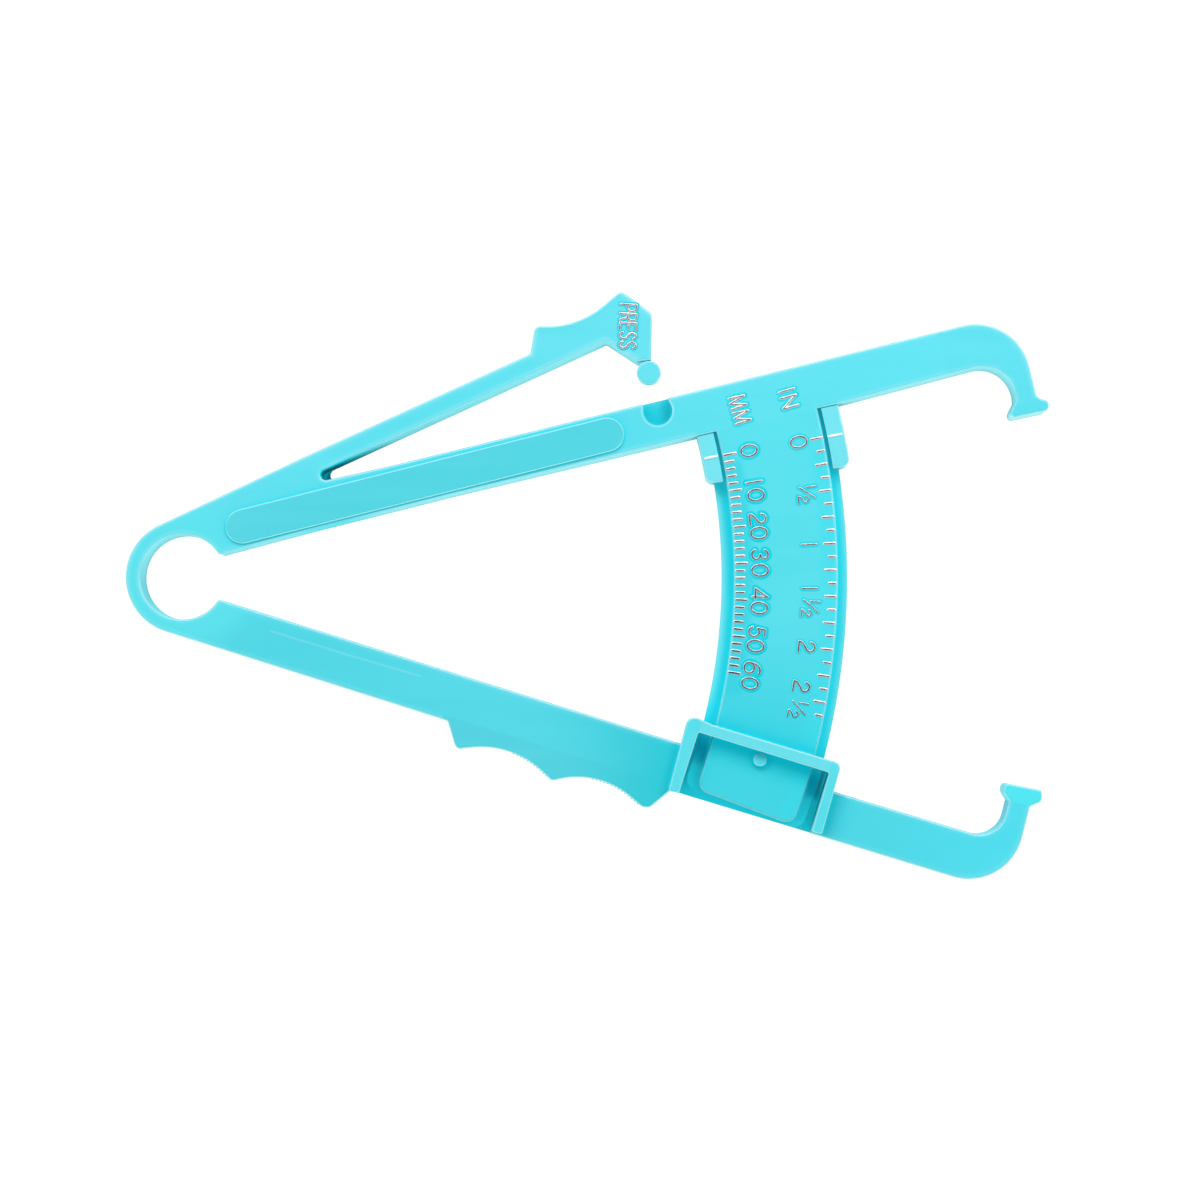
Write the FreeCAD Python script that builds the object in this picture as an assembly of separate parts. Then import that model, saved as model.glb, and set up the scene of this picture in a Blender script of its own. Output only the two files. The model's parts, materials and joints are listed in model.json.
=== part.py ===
import FreeCAD, Part
import math
import os

# Skinfold caliper, injection moulded in one piece with a loose pointer slide.
# It lies on its back: the back is z = 0, the scale faces +Z, +X runs from the
# spring bow to the jaws, and +Y points to the arm that carries the scale.
# The origin is the middle of the bounding box, on the back plane; the figures
# below are drawn about a point "shift" away from it, and every piece is moved
# by "shift" as it is written.
# All lengths are millimetres, all angles degrees.

V = FreeCAD.Vector

# ---------------------------------------------------------------- dimensions
body_t = 8.0            # thickness of arms, jaws and bow
front_r = 0.40          # rounding of the front outline edges
back_r = 0.25           # rounding of the back outline edges

# spring bow (open ring)
bow_x, bow_y = -73.61, 1.39
bow_ro = 10.45          # outer radius
bow_ri = 7.75           # radius of the hole
bow_mid = 0.5 * (bow_ro + bow_ri)
flex_end = 34.0         # flexing arc reaches this far each side of the back
flex_mid = 25.0         # place of the outer two flexure axes
flex_core = 16.0        # half arc that bends about the back axis

# centre of the curved scale = the point the arms close about
scale_cx, scale_cy = -82.37, 1.39
flange_r0, flange_r1 = 107.10, 130.00    # guide flanges of the scale bar
strip_r0, strip_r1 = 109.33, 128.20      # raised marked strip
bar_z0 = 3.0            # back of the scale bar
flange_z = 5.5          # front of the flanges
strip_end = -20.62      # lower end of the strip
flange_end = -20.85     # lower end of the flanges
strip_corner = 2.2
flange_corner = 2.4

# graduations
zero_phi = 11.45        # place of the zero on the bar
deg_per_mm = 0.3452     # turn of the bracket for 1 mm at the jaws
inch = 25.4
foil_h = 0.14           # height of the stamped figures
line_w = 0.32           # width of the stamped lines
mm_tick_r0 = 109.55     # inner ends of the millimetre lines
mm_lead = 0.16          # the millimetre lines start this much past the zero
inch_tick_r1 = 128.00   # outer ends of the inch lines
inch_lead = -0.015
inch_deg = 0.3431       # turn for 1 mm on the inch side
fig_h = 2.92            # figures, middle of stroke to middle of stroke
fig_w = {"0": 2.02, "1": 1.0, "2": 1.93, "3": 1.80, "4": 2.00, "5": 1.80, "6": 2.02,
         "M": 2.03, "I": 1.0, "N": 1.92}
half_h, half_w = 1.78, 1.22             # figures of one half
slash_h, slash_w = 2.65, 2.10
unit_h = 2.86
press_h, press_w = 2.98, 1.20

# figure, radius, angle about the scale centre
MM_FIGURES = [
    ("0", 114.38, 11.58), ("1", 114.26, 8.67), ("0", 114.29, 7.46), ("2", 114.12, 5.27), ("0", 114.13, 3.98),
    ("3", 114.10, 2.01), ("0", 114.05, 0.57), ("4", 114.08, -1.55), ("0", 114.02, -2.87),
    ("5", 113.90, -5.06), ("0", 113.90, -6.36), ("6", 113.83, -8.40), ("0", 113.84, -9.83)]
INCH_FIGURES = [
    ("0", 123.55, 11.44), ("h1", 124.35, 7.57), ("/", 123.50, 7.13), ("h2", 122.74, 6.55),
    ("1", 123.10, 2.71), ("1", 123.05, -1.01), ("h1", 124.10, -2.11), ("/", 123.40, -2.49), ("h2", 122.62, -3.10),
    ("2", 123.18, -5.97), ("2", 123.18, -9.36), ("h1", 124.12, -10.71), ("/", 123.40, -11.16), ("h2", 122.54, -11.74)]
UNIT_FIGURES = [("M", 114.50, 16.13), ("M", 114.52, 14.72), ("I", 123.62, 15.92), ("N", 123.62, 14.93)]
# letter, x, y
PRESS_LETTERS = [("P", 7.70, 50.48), ("R", 7.70, 48.78), ("E", 7.66, 47.07), ("S", 7.62, 45.36), ("S", 7.57, 43.64)]

# pointer slide
slide_r0, slide_r1 = 105.72, 132.05      # outer faces of the side walls
slide_gap = 0.16        # side clearance to the flanges
slide_bottom_l, slide_bottom_r = 9.26, 8.77   # lower corners of the two rails
slide_z0, slide_z1 = 0.9, 7.9
lip_r0, lip_r1 = 108.75, 128.85          # inner edges of the two lips
lip_z = 5.7             # back of the lips
plate_z = 2.8           # front of the plate behind the bar
slide_top_gap = 0.16

# guide bracket on the lower arm
floor_z = 2.8           # the arm is this thin under the bar
cross_z0, cross_z1 = 8.3, 10.3

# stop pip on the end of the strip
pip_x, pip_y, pip_r, pip_h = 31.60, -31.85, 1.20, 0.9

# click disc and its pocket
disc_x, disc_y, disc_r = 11.45, 38.62, 2.17
disc_z0 = 5.8
pocket_x, pocket_y, pocket_r = 13.05, 31.62, 2.67
pocket_z = 5.45
pocket_mouth = 2.43     # half width of the open mouth
pocket_dir = 103.0      # direction the mouth opens to

# raised pad on the upper arm
pad_a = (-62.68, 10.59)
pad_b = (3.82, 27.26)
pad_r = 3.13
pad_h = 0.42

# press lever flexure: from the slot root to here along the lever
lever_root = (-47.9, 24.6)
lever_free = (-32.0, 31.9)
lever_dir = 24.5
head_root = (-10.4, 42.0)       # the thumb head starts here

# thin web that closes the back of the slot at its tip
slot_tip = (-48.38, 19.69)
slot_mid_dir = 18.6
web_len = 1.75
web_round = 0.95
web_z0, web_z1 = 0.35, 1.35
slot_line = (-47.48, 19.97, 14.12)      # runs through the slot: x, y, direction

# seams between the regions of the two mouldings: x, y, direction
upper_jaw_root = (64.0, 46.0, 104.0)
upper_foot_root = (78.21, 33.27, 9.0)
lower_foot_root = (76.73, -39.35, -11.4)
UNDER_A, UNDER_B = (19.65, 26.91), (46.65, 33.04)   # inner edge of the arm over the bar
bar_seam = 0.05         # the bar is seamed this far outside that edge
GRIP_A, GRIP_B = (-25.90, -23.70), (15.40, -36.62)  # finger grip hangs below this line

# ribs on the finger grip: outline corner, lowest x, highest x
RIB_ZONES = [(3, -13.2, -6.9), (5, 1.0, 9.8)]
rib_pitch = 0.72
rib_r = 0.26
rib_sink = 0.13

# x, y, corner radius
UPPER_OUTLINE = [
    (-78.05, 10.93, 0.00),
    (-51.06, 23.52, 100.00),
    (-10.19, 42.10, 0.50),
    (-9.34, 47.23, 1.20),
    (-1.57, 46.95, 15.77),
    (6.43, 53.68, 1.20),
    (12.01, 49.47, 1.30),
    (11.83, 40.95, 0.00),
    (9.32, 40.63, 0.00),
    (3.63, 44.38, 0.70),
    (-56.04, 17.11, 0.94),
    (-35.23, 21.76, 60.00),
    (78.32, 49.51, 10.00),
    (82.06, 33.95, 1.50),
    (84.23, 33.37, 1.02),
    (84.18, 31.63, 0.90),
    (77.39, 30.16, 0.70),
    (77.25, 31.36, 0.80),
    (78.21, 33.30, 0.50),
    (78.24, 41.36, 6.05),
    (46.65, 33.04, 0.00),
    (19.65, 26.91, 0.00),
    (-23.61, 16.60, 150.00),
    (-50.79, 9.80, 100.00),
    (-70.58, 4.51, 0.00),
    (-73.61, 1.39, 0.00),
]
LOWER_OUTLINE = [
    (-76.76, -8.57, 0.00),
    (-25.16, -24.89, 0.60),
    (-23.62, -30.05, 1.10),
    (-13.46, -28.91, 16.15),
    (-6.21, -35.77, 1.00),
    (2.43, -33.90, 14.80),
    (10.98, -41.18, 1.85),
    (15.29, -37.54, 0.80),
    (76.48, -56.07, 9.95),
    (80.52, -40.33, 0.70),
    (82.69, -39.44, 1.00),
    (82.70, -37.39, 0.70),
    (75.93, -36.03, 0.80),
    (75.77, -37.74, 0.90),
    (76.73, -39.26, 0.50),
    (74.79, -46.65, 4.88),
    (47.30, -38.38, 150.00),
    (-70.55, -1.61, 0.00),
    (-73.61, 1.39, 0.00),
]

# guide bracket: front outline of the two legs and the crossbar
TL = (18.55, -24.20)
TR = (46.33, -32.55)
CROSS_L = (20.45, -26.89)
CROSS_R = (44.05, -34.16)
LEG_LO = (14.95, -37.40)     # left leg, outer face low
LEG_LI = (16.90, -37.90)     # left leg, inner face low
LEG_RI = (40.85, -44.90)     # right leg, inner face low
LEG_RO = (42.73, -45.35)     # right leg, outer face low
CREST_A = (20.75, -24.48)    # the left corner stands a little proud of the crossbar
CREST_B = (23.10, -25.568)   # and runs down to it here
left_step = 1.05             # below the bar each leg is thicker, inwards
right_step = 1.30

os.makedirs("parts", exist_ok=True)


# ------------------------------------------------------------------ helpers
def rounded_wire(pts, z):
    """Closed outline with a tangent arc at each corner that has a radius."""
    n = len(pts)
    tin, tout, mid = [], [], []
    for i in range(n):
        x, y, r = pts[i]
        if r <= 0:
            tin.append(V(x, y, z)); tout.append(V(x, y, z)); mid.append(None)
            continue
        xp, yp = pts[i - 1][0], pts[i - 1][1]
        xn, yn = pts[(i + 1) % n][0], pts[(i + 1) % n][1]
        a = V(xp - x, yp - y, 0); b = V(xn - x, yn - y, 0)
        a.normalize(); b.normalize()
        half = 0.5 * math.acos(max(-1.0, min(1.0, a.dot(b))))
        t = r / math.tan(half)
        bis = a + b
        bis.normalize()
        c = V(x, y, z) + bis * (r / math.sin(half))
        tin.append(V(x, y, z) + a * t)
        tout.append(V(x, y, z) + b * t)
        mid.append(c - bis * r)
    edges = []
    for i in range(n):
        if mid[i] is not None:
            edges.append(Part.Arc(tin[i], mid[i], tout[i]).toShape())
        p, q = tout[i], tin[(i + 1) % n]
        if p.distanceToPoint(q) > 1e-6:
            edges.append(Part.LineSegment(p, q).toShape())
    return Part.Wire(edges)


def prism(pts, z0, z1):
    f = Part.Face(rounded_wire([(p[0], p[1], p[2] if len(p) > 2 else 0.0) for p in pts], z0))
    return f.extrude(V(0, 0, z1 - z0))


def polar(r, phi, z=0.0):
    a = math.radians(phi)
    return V(scale_cx + r * math.cos(a), scale_cy + r * math.sin(a), z)


def tangent_point(px, py, cx, cy, r, side):
    """Where the tangent from (px, py) touches the circle; side +1 or -1."""
    d = math.hypot(px - cx, py - cy)
    base = math.atan2(py - cy, px - cx)
    a = base + side * math.acos(r / d)
    return cx + r * math.cos(a), cy + r * math.sin(a)


def sector(r0, r1, phi0, phi1, z0, z1, cx=None, cy=None):
    """Ring sector about the scale centre, or about (cx, cy)."""
    cx = scale_cx if cx is None else cx
    cy = scale_cy if cy is None else cy

    def pt(r, phi):
        a = math.radians(phi)
        return V(cx + r * math.cos(a), cy + r * math.sin(a), z0)
    pm = 0.5 * (phi0 + phi1)
    w = Part.Wire([
        Part.Arc(pt(r0, phi0), pt(r0, pm), pt(r0, phi1)).toShape(),
        Part.LineSegment(pt(r0, phi1), pt(r1, phi1)).toShape(),
        Part.Arc(pt(r1, phi1), pt(r1, pm), pt(r1, phi0)).toShape(),
        Part.LineSegment(pt(r1, phi0), pt(r0, phi0)).toShape()])
    return Part.Face(w).extrude(V(0, 0, z1 - z0))


def halfspace(x, y, ang, size=400.0):
    """Everything to the left of the line through (x, y) in direction ang."""
    b = Part.makeBox(2 * size, size, 80.0, V(-size, 0, -20.0))
    b.rotate(V(0, 0, 0), V(0, 0, 1), ang)
    b.translate(V(x, y, 0))
    return b


def line_ang(p, q):
    return math.degrees(math.atan2(q[1] - p[1], q[0] - p[0]))


def outline_edges(s, z, skip=None):
    out = []
    for e in s.Edges:
        bb = e.BoundBox
        if abs(bb.ZMin - z) < 1e-4 and abs(bb.ZMax - z) < 1e-4:
            if skip is None or not skip(e):
                out.append(e)
    return out


def try_fillet(s, r, edges, label):
    for k in (1.0, 0.85, 0.7):
        try:
            t = s.makeFillet(r * k, edges)
            if t.isValid() and t.Volume > 0.8 * s.Volume:
                if k != 1.0:
                    print(label, "rounded with", round(r * k, 3))
                return t
        except Exception:
            pass
    print(label, "left sharp")
    return s


def one(s):
    """The single solid of a boolean result, or all of them as a compound."""
    s = s.removeSplitter() if hasattr(s, "removeSplitter") else s
    sol = [q for q in s.Solids if q.Volume > 1e-4]
    if len(sol) == 1:
        return sol[0]
    return Part.makeCompound(sol)


shift = V(0.320, 0.264, 0)     # puts the middle of the bounding box on the origin


def save(name, s):
    if not isinstance(s, Part.Compound):
        s = one(s) if s.Solids and s.ShapeType != "Solid" else s
    s = s.copy()
    s.translate(shift)
    s.exportStep("parts/%s.step" % name)
    print("%-24s solids %d volume %9.3f valid %s" % (name, len(s.Solids), s.Volume, s.isValid()))


# --------------------------------------------------------------- mouldings
# Arm, jaw, foot, press lever and the upper half of the bow share one outline;
# the scale bar hangs from the arm's inner edge. The lower arm, its jaw, the
# finger grip and the lower half of the bow share the other.
tx, ty = tangent_point(UPPER_OUTLINE[1][0], UPPER_OUTLINE[1][1], bow_x, bow_y, bow_ro, 1)
UPPER_OUTLINE[0] = (tx, ty, 0.0)
a_top = math.degrees(math.atan2(ty - bow_y, tx - bow_x))
tx, ty = tangent_point(LOWER_OUTLINE[1][0], LOWER_OUTLINE[1][1], bow_x, bow_y, bow_ro, -1)
LOWER_OUTLINE[0] = (tx, ty, 0.0)
a_bot = math.degrees(math.atan2(ty - bow_y, tx - bow_x)) + 360.0
print("bow tangents at", round(a_top, 2), round(a_bot, 2))

hole = Part.makeCylinder(bow_ri, 20, V(bow_x, bow_y, -5))
upper = prism(UPPER_OUTLINE, 0, body_t).fuse(
    sector(bow_ri - 1.5, bow_ro, a_top, 180.0, 0, body_t, bow_x, bow_y)).cut(hole).removeSplitter()
lower = prism(LOWER_OUTLINE, 0, body_t).fuse(
    sector(bow_ri - 1.5, bow_ro, 180.0, a_bot, 0, body_t, bow_x, bow_y)).cut(hole).removeSplitter()
upper = one(upper)
lower = one(lower)
print("blanks", upper.isValid(), lower.isValid(), len(upper.Solids), len(lower.Solids))


def nose_edges(s):
    es = []
    for e in s.Edges:
        bb = e.BoundBox
        if bb.XLength < 1e-6 and bb.YLength < 1e-6 and bb.ZLength > 5.0:
            if abs(math.hypot(bb.XMin - bow_x, bb.YMin - bow_y) - bow_ri) < 0.02 and bb.XMin > bow_x:
                es.append(e)
    return es


upper = try_fillet(upper, 0.6, nose_edges(upper), "upper nose")
lower = try_fillet(lower, 0.6, nose_edges(lower), "lower nose")


def round_verticals(s, r, phi_max):
    es = []
    for e in s.Edges:
        bb = e.BoundBox
        if bb.XLength < 1e-6 and bb.YLength < 1e-6 and bb.ZLength > 1.0:
            phi = math.degrees(math.atan2(bb.YMin - scale_cy, bb.XMin - scale_cx))
            if phi < phi_max:
                es.append(e)
    return s.makeFillet(r, es)


strip = round_verticals(sector(strip_r0, strip_r1, strip_end, 15.2, flange_z, body_t), strip_corner, -15.0)
flange = round_verticals(sector(flange_r0, flange_r1, flange_end, 15.2, bar_z0, flange_z), flange_corner, -15.0)
upper = one(upper.fuse([strip, flange]))
print("upper with bar", upper.isValid(), len(upper.Solids))


def at_back(e):
    """Edges in the plane where the two halves of the bow meet."""
    bb = e.BoundBox
    return abs(bb.YMin - bow_y) < 1e-4 and abs(bb.YMax - bow_y) < 1e-4 and bb.XMax < bow_x


upper = try_fillet(upper, front_r, outline_edges(upper, body_t, at_back), "upper front")
upper = try_fillet(upper, back_r, outline_edges(upper, 0.0, at_back), "upper back")
lower = try_fillet(lower, front_r, outline_edges(lower, body_t, at_back), "lower front")
lower = try_fillet(lower, back_r, outline_edges(lower, 0.0, at_back), "lower back")
# web at the tip of the slot, with a round end
wd = V(math.cos(math.radians(slot_mid_dir)), math.sin(math.radians(slot_mid_dir)), 0)
web = Part.makeBox(web_len + 0.5, 2.6, web_z1 - web_z0, V(-0.5, -1.3, 0))
web = web.cut(Part.makeCylinder(web_round, 5.0, V(web_len + 0.35, 0, -1.0)))
web.Placement = FreeCAD.Placement(V(slot_tip[0], slot_tip[1], web_z0), FreeCAD.Rotation(V(0, 0, 1), slot_mid_dir))
upper = one(upper.fuse(web))
print("mouldings", upper.isValid(), lower.isValid())

# ------------------------------------------------------------ lower arm cuts
# Between the legs of the bracket the arm is a thin floor under the bar.
ang_li = line_ang(LEG_LI, CROSS_L)      # up the inner face of the left leg
ang_ri = line_ang(LEG_RI, CROSS_R)      # up the inner face of the right leg
ang_lo = line_ang(LEG_LO, TL)
ang_ro = line_ang(LEG_RO, TR)
right_of_li = halfspace(LEG_LI[0], LEG_LI[1], ang_li + 180.0)
left_of_ri = halfspace(LEG_RI[0], LEG_RI[1], ang_ri)
left_of_lo = halfspace(LEG_LO[0], LEG_LO[1], ang_lo)
right_of_lo = halfspace(LEG_LO[0], LEG_LO[1], ang_lo + 180.0)
right_of_ro = halfspace(LEG_RO[0], LEG_RO[1], ang_ro + 180.0)
left_of_ro = halfspace(LEG_RO[0], LEG_RO[1], ang_ro)
below = Part.makeBox(800, 800, floor_z + 30.0, V(-400, -400, -30.0))
left_of_li = halfspace(LEG_LI[0], LEG_LI[1], ang_li)
right_of_ri = halfspace(LEG_RI[0], LEG_RI[1], ang_ri + 180.0)

lower_arm_solid = lower.common(left_of_lo)
left_root = lower.common(right_of_lo).common(left_of_li)
floor = lower.common(right_of_li).common(left_of_ri).common(below)
right_root = lower.common(right_of_ri).common(left_of_ro)
lower_jaw_solid = lower.common(right_of_ro)

def along(p, q, d):
    """Point on the line from p to q, d past p."""
    l = math.hypot(q[0] - p[0], q[1] - p[1])
    return p[0] + (q[0] - p[0]) * d / l, p[1] + (q[1] - p[1]) * d / l


# the bracket stands on the arm: two legs and a crossbar over the bar
RI, LI = along(LEG_RI, CROSS_R, 0.05), along(LEG_LI, CROSS_L, 0.05)
TLC = along(LEG_LO, TL, math.hypot(TL[0] - LEG_LO[0], TL[1] - LEG_LO[1]) + 0.38)
frame_out = [
    (TLC[0], TLC[1], 1.55),
    (CREST_A[0], CREST_A[1], 1.2),
    (CREST_B[0], CREST_B[1], 1.5),
    (TR[0], TR[1], 1.3),
    (LEG_RO[0], LEG_RO[1], 0.5),
    (RI[0], RI[1], 0.5),
    (CROSS_R[0], CROSS_R[1], 0.35),
    (CROSS_L[0], CROSS_L[1], 0.35),
    (LI[0], LI[1], 0.5),
    (LEG_LO[0], LEG_LO[1] - 0.2, 0.5),
]
frame = prism(frame_out, 0, cross_z1)
frame = try_fillet(frame, 0.32, outline_edges(frame, cross_z1), "bracket front")
under_bar = prism([(CROSS_L[0] - 4.0, CROSS_L[1] - 4.0), (CROSS_R[0] + 1.0, CROSS_R[1] - 6.0),
                   (CROSS_R[0] + 6.0, CROSS_R[1] + 8.0), (CROSS_L[0] + 2.0, CROSS_L[1] + 9.0)],
                  -1, cross_z0).common(right_of_li).common(left_of_ri)
past_l, past_r = along(TR, TL, 40.0), along(TL, TR, 40.0)
behind_crest = prism([past_l, past_r, (past_r[0] + 1.0, past_r[1] + 3.0), (past_l[0] + 1.0, past_l[1] + 3.0)],
                     -1, cross_z0)          # only the top of the corner stands proud
frame = one(frame.cut(under_bar).cut(behind_crest))
left_leg = one(frame.common(left_of_li))
crossbar = one(frame.common(right_of_li).common(left_of_ri))
right_leg = one(frame.common(right_of_ri))
print("bracket", left_leg.isValid(), crossbar.isValid(), right_leg.isValid(),
      len(left_leg.Solids), len(crossbar.Solids), len(right_leg.Solids))


def low_step(p, q, low, d):
    """The thicker low part of a leg, from `low` along its inner face up to the
    crossbar and d inwards."""
    l = math.hypot(q[0] - p[0], q[1] - p[1])
    ux, uy = (q[0] - p[0]) / l, (q[1] - p[1]) / l
    a, b = along(p, q, low), along(p, q, l + 6.0)
    side = 1.0 if d > 0 else -1.0
    o = [(a[0] - uy * -0.3 * -side, a[1] + ux * 0.3 * side), (b[0] + uy * -0.3 * side, b[1] + ux * 0.3 * side),
         (b[0] + uy * d, b[1] - ux * d), (a[0] + uy * d, a[1] - ux * d)]
    return prism(o, 0, floor_z).common(prism([(TL[0], TL[1]), (TR[0], TR[1]), LEG_RO, LEG_LO], 0, floor_z))


left_leg = one(left_leg.fuse(left_root).fuse(low_step(LEG_LI, CROSS_L, 7.6, left_step)))
right_leg = one(right_leg.fuse(right_root).fuse(low_step(LEG_RI, CROSS_R, 7.2, -right_step)))
lower_arm_solid = one(lower_arm_solid.cut(left_leg))
floor = one(floor.cut(Part.makeCompound([left_leg, right_leg])))
lower_jaw_solid = one(lower_jaw_solid.cut(right_leg))
for nm, q in (("lower arm", lower_arm_solid), ("floor", floor), ("jaw", lower_jaw_solid),
              ("legs", left_leg), ("", right_leg)):
    print(nm, q.isValid(), len(q.Solids), round(q.Volume, 2))

# ------------------------------------------------- upper moulding, by region
shoulder_cut = 146.0        # the flexing half of the bow starts here
bow_upper_half = one(upper.common(halfspace(bow_x, bow_y, shoulder_cut)))
rest = one(upper.common(halfspace(bow_x, bow_y, shoulder_cut + 180.0)))
upper_shoulder = one(rest.common(halfspace(bow_x, bow_y, a_top)))
rest = one(rest.common(halfspace(bow_x, bow_y, a_top + 180.0)))

# press lever: everything above the slot, from the root plane on
above_slot = halfspace(slot_line[0], slot_line[1], slot_line[2])
past_root = halfspace(lever_root[0], lever_root[1], lever_dir + 270.0)
lever = one(rest.common(above_slot).common(past_root))
rest = one(rest.cut(above_slot.common(past_root)))
past_free = halfspace(lever_free[0], lever_free[1], lever_dir + 270.0)
before_free = halfspace(lever_free[0], lever_free[1], lever_dir + 90.0)
past_head = halfspace(head_root[0], head_root[1], lever_dir + 270.0)
before_head = halfspace(head_root[0], head_root[1], lever_dir + 90.0)
press_flexure = one(lever.common(before_free))
press_arm = one(lever.common(past_free).common(before_head))
thumb_head = one(lever.common(past_head))

# jaw and foot
past_jaw = halfspace(upper_jaw_root[0], upper_jaw_root[1], upper_jaw_root[2] + 180.0)
jaw = one(rest.common(past_jaw))
rest = one(rest.cut(past_jaw))
foot_side = halfspace(upper_foot_root[0], upper_foot_root[1], upper_foot_root[2] + 180.0)
upper_jaw_foot = one(jaw.common(foot_side))
upper_jaw = one(jaw.cut(foot_side))

# scale bar under the inner edge of the arm
ang_under = line_ang(UNDER_A, UNDER_B)
gap_dir = V(math.sin(math.radians(ang_under)), -math.cos(math.radians(ang_under)), 0)
under_arm = halfspace(UNDER_A[0] + bar_seam * gap_dir.x, UNDER_A[1] + bar_seam * gap_dir.y, ang_under + 180.0)
bar_zone = sector(flange_r0 - 0.5, flange_r1 + 0.5, flange_end - 2.0, 15.15, -1, body_t + 1).common(under_arm)
bar = rest.common(bar_zone)
upper_arm = one(rest.cut(bar_zone))
front_layer = Part.makeBox(800, 800, 20.0, V(-400, -400, flange_z))
back_layer = Part.makeBox(800, 800, 20.0, V(-400, -400, flange_z - 20.0))
scale_plate = one(bar.common(front_layer))
scale_bar = one(bar.common(back_layer))

# round pocket with an open mouth in the line of the disc's travel
pocket = Part.makeCylinder(pocket_r, 20, V(pocket_x, pocket_y, pocket_z))
mouth = Part.makeBox(8.0, 2 * pocket_mouth, 20.0, V(0, -pocket_mouth, 0))
mouth.rotate(V(0, 0, 0), V(0, 0, 1), pocket_dir)
mouth.translate(V(pocket_x, pocket_y, pocket_z))
pocket = pocket.fuse(mouth)
upper_arm = one(upper_arm.cut(pocket))

# raised pad
d = V(pad_b[0] - pad_a[0], pad_b[1] - pad_a[1], 0)
pad_len = d.Length
nrm = V(-d.y, d.x, 0)
nrm.normalize()
dn = V(d.x, d.y, 0)
dn.normalize()
pa, pb = V(pad_a[0], pad_a[1], body_t), V(pad_b[0], pad_b[1], body_t)
arm_pad = Part.Face(Part.Wire([
    Part.LineSegment(pa - nrm * pad_r, pb - nrm * pad_r).toShape(),
    Part.Arc(pb - nrm * pad_r, pb + dn * pad_r, pb + nrm * pad_r).toShape(),
    Part.LineSegment(pb + nrm * pad_r, pa + nrm * pad_r).toShape(),
    Part.Arc(pa + nrm * pad_r, pa - dn * pad_r, pa - nrm * pad_r).toShape()])).extrude(V(0, 0, pad_h))
arm_pad = try_fillet(arm_pad, 0.28, outline_edges(arm_pad, body_t + pad_h), "pad")

stop_pip = Part.makeCylinder(pip_r, pip_h, V(pip_x, pip_y, body_t))
stop_pip = try_fillet(stop_pip, 0.30, outline_edges(stop_pip, body_t + pip_h), "pip")

# click disc on the tip of the thumb head
click_disc = Part.makeCylinder(disc_r, body_t - disc_z0, V(disc_x, disc_y, disc_z0))
click_disc = try_fillet(click_disc, 0.35, outline_edges(click_disc, body_t), "disc front")
click_disc = one(click_disc.cut(thumb_head))

# ------------------------------------------------- lower moulding, by region
lower_shoulder_cut = 214.0
bow_lower_half = one(lower_arm_solid.common(halfspace(bow_x, bow_y, lower_shoulder_cut + 180.0)).common(
    Part.makeBox(60, 60, 40, V(bow_x - 60, bow_y - 60, -10))))
arm_rest = one(lower_arm_solid.cut(bow_lower_half))
lower_shoulder = one(arm_rest.common(halfspace(bow_x, bow_y, a_bot + 180.0)))
arm_rest = one(arm_rest.common(halfspace(bow_x, bow_y, a_bot)))
grip_zone = halfspace(GRIP_A[0], GRIP_A[1], line_ang(GRIP_A, GRIP_B) + 180.0).common(
    halfspace(GRIP_A[0], GRIP_A[1], line_ang(GRIP_A, GRIP_B) - 90.0))
finger_grip = one(arm_rest.common(grip_zone))
lower_arm = one(arm_rest.cut(grip_zone))

# fine ribs across the right side of each scallop
def corner_arc(pts, i):
    x, y, r = pts[i]
    a = V(pts[i - 1][0] - x, pts[i - 1][1] - y, 0)
    b = V(pts[i + 1][0] - x, pts[i + 1][1] - y, 0)
    a.normalize()
    b.normalize()
    half = 0.5 * math.acos(a.dot(b))
    bis = a + b
    bis.normalize()
    c = V(x, y, 0) + bis * (r / math.sin(half))
    p, q = V(x, y, 0) + a * (r / math.tan(half)), V(x, y, 0) + b * (r / math.tan(half))
    return c, math.atan2(p.y - c.y, p.x - c.x), math.atan2(q.y - c.y, q.x - c.x)


ribs = []
for (ix, x_lo, x_hi) in RIB_ZONES:
    c, a0, a1 = corner_arc(LOWER_OUTLINE, ix)
    r = LOWER_OUTLINE[ix][2]
    a_right = min(a0, a1)
    for k in range(-40, 60):
        s = (k + 0.5) * rib_pitch             # along the edge, from the end of the arc
        a = a_right + max(s, 0.0) / r
        x = c.x + (r + rib_sink) * math.cos(a) + max(-s, 0.0) * math.sin(a)
        y = c.y + (r + rib_sink) * math.sin(a) - max(-s, 0.0) * math.cos(a)
        if x_lo <= x <= x_hi:
            ribs.append(Part.makeCylinder(rib_r, body_t - 0.9, V(x, y, 0.45)))
ribs = [one(q.cut(finger_grip)) for q in ribs]
grip_ribs = Part.makeCompound([s for q in ribs for s in q.Solids])
print("ribs", len(grip_ribs.Solids))

foot_side = halfspace(lower_foot_root[0], lower_foot_root[1], lower_foot_root[2])
lower_jaw_foot = one(lower_jaw_solid.common(foot_side))
lower_jaw = one(lower_jaw_solid.cut(foot_side))

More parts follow.
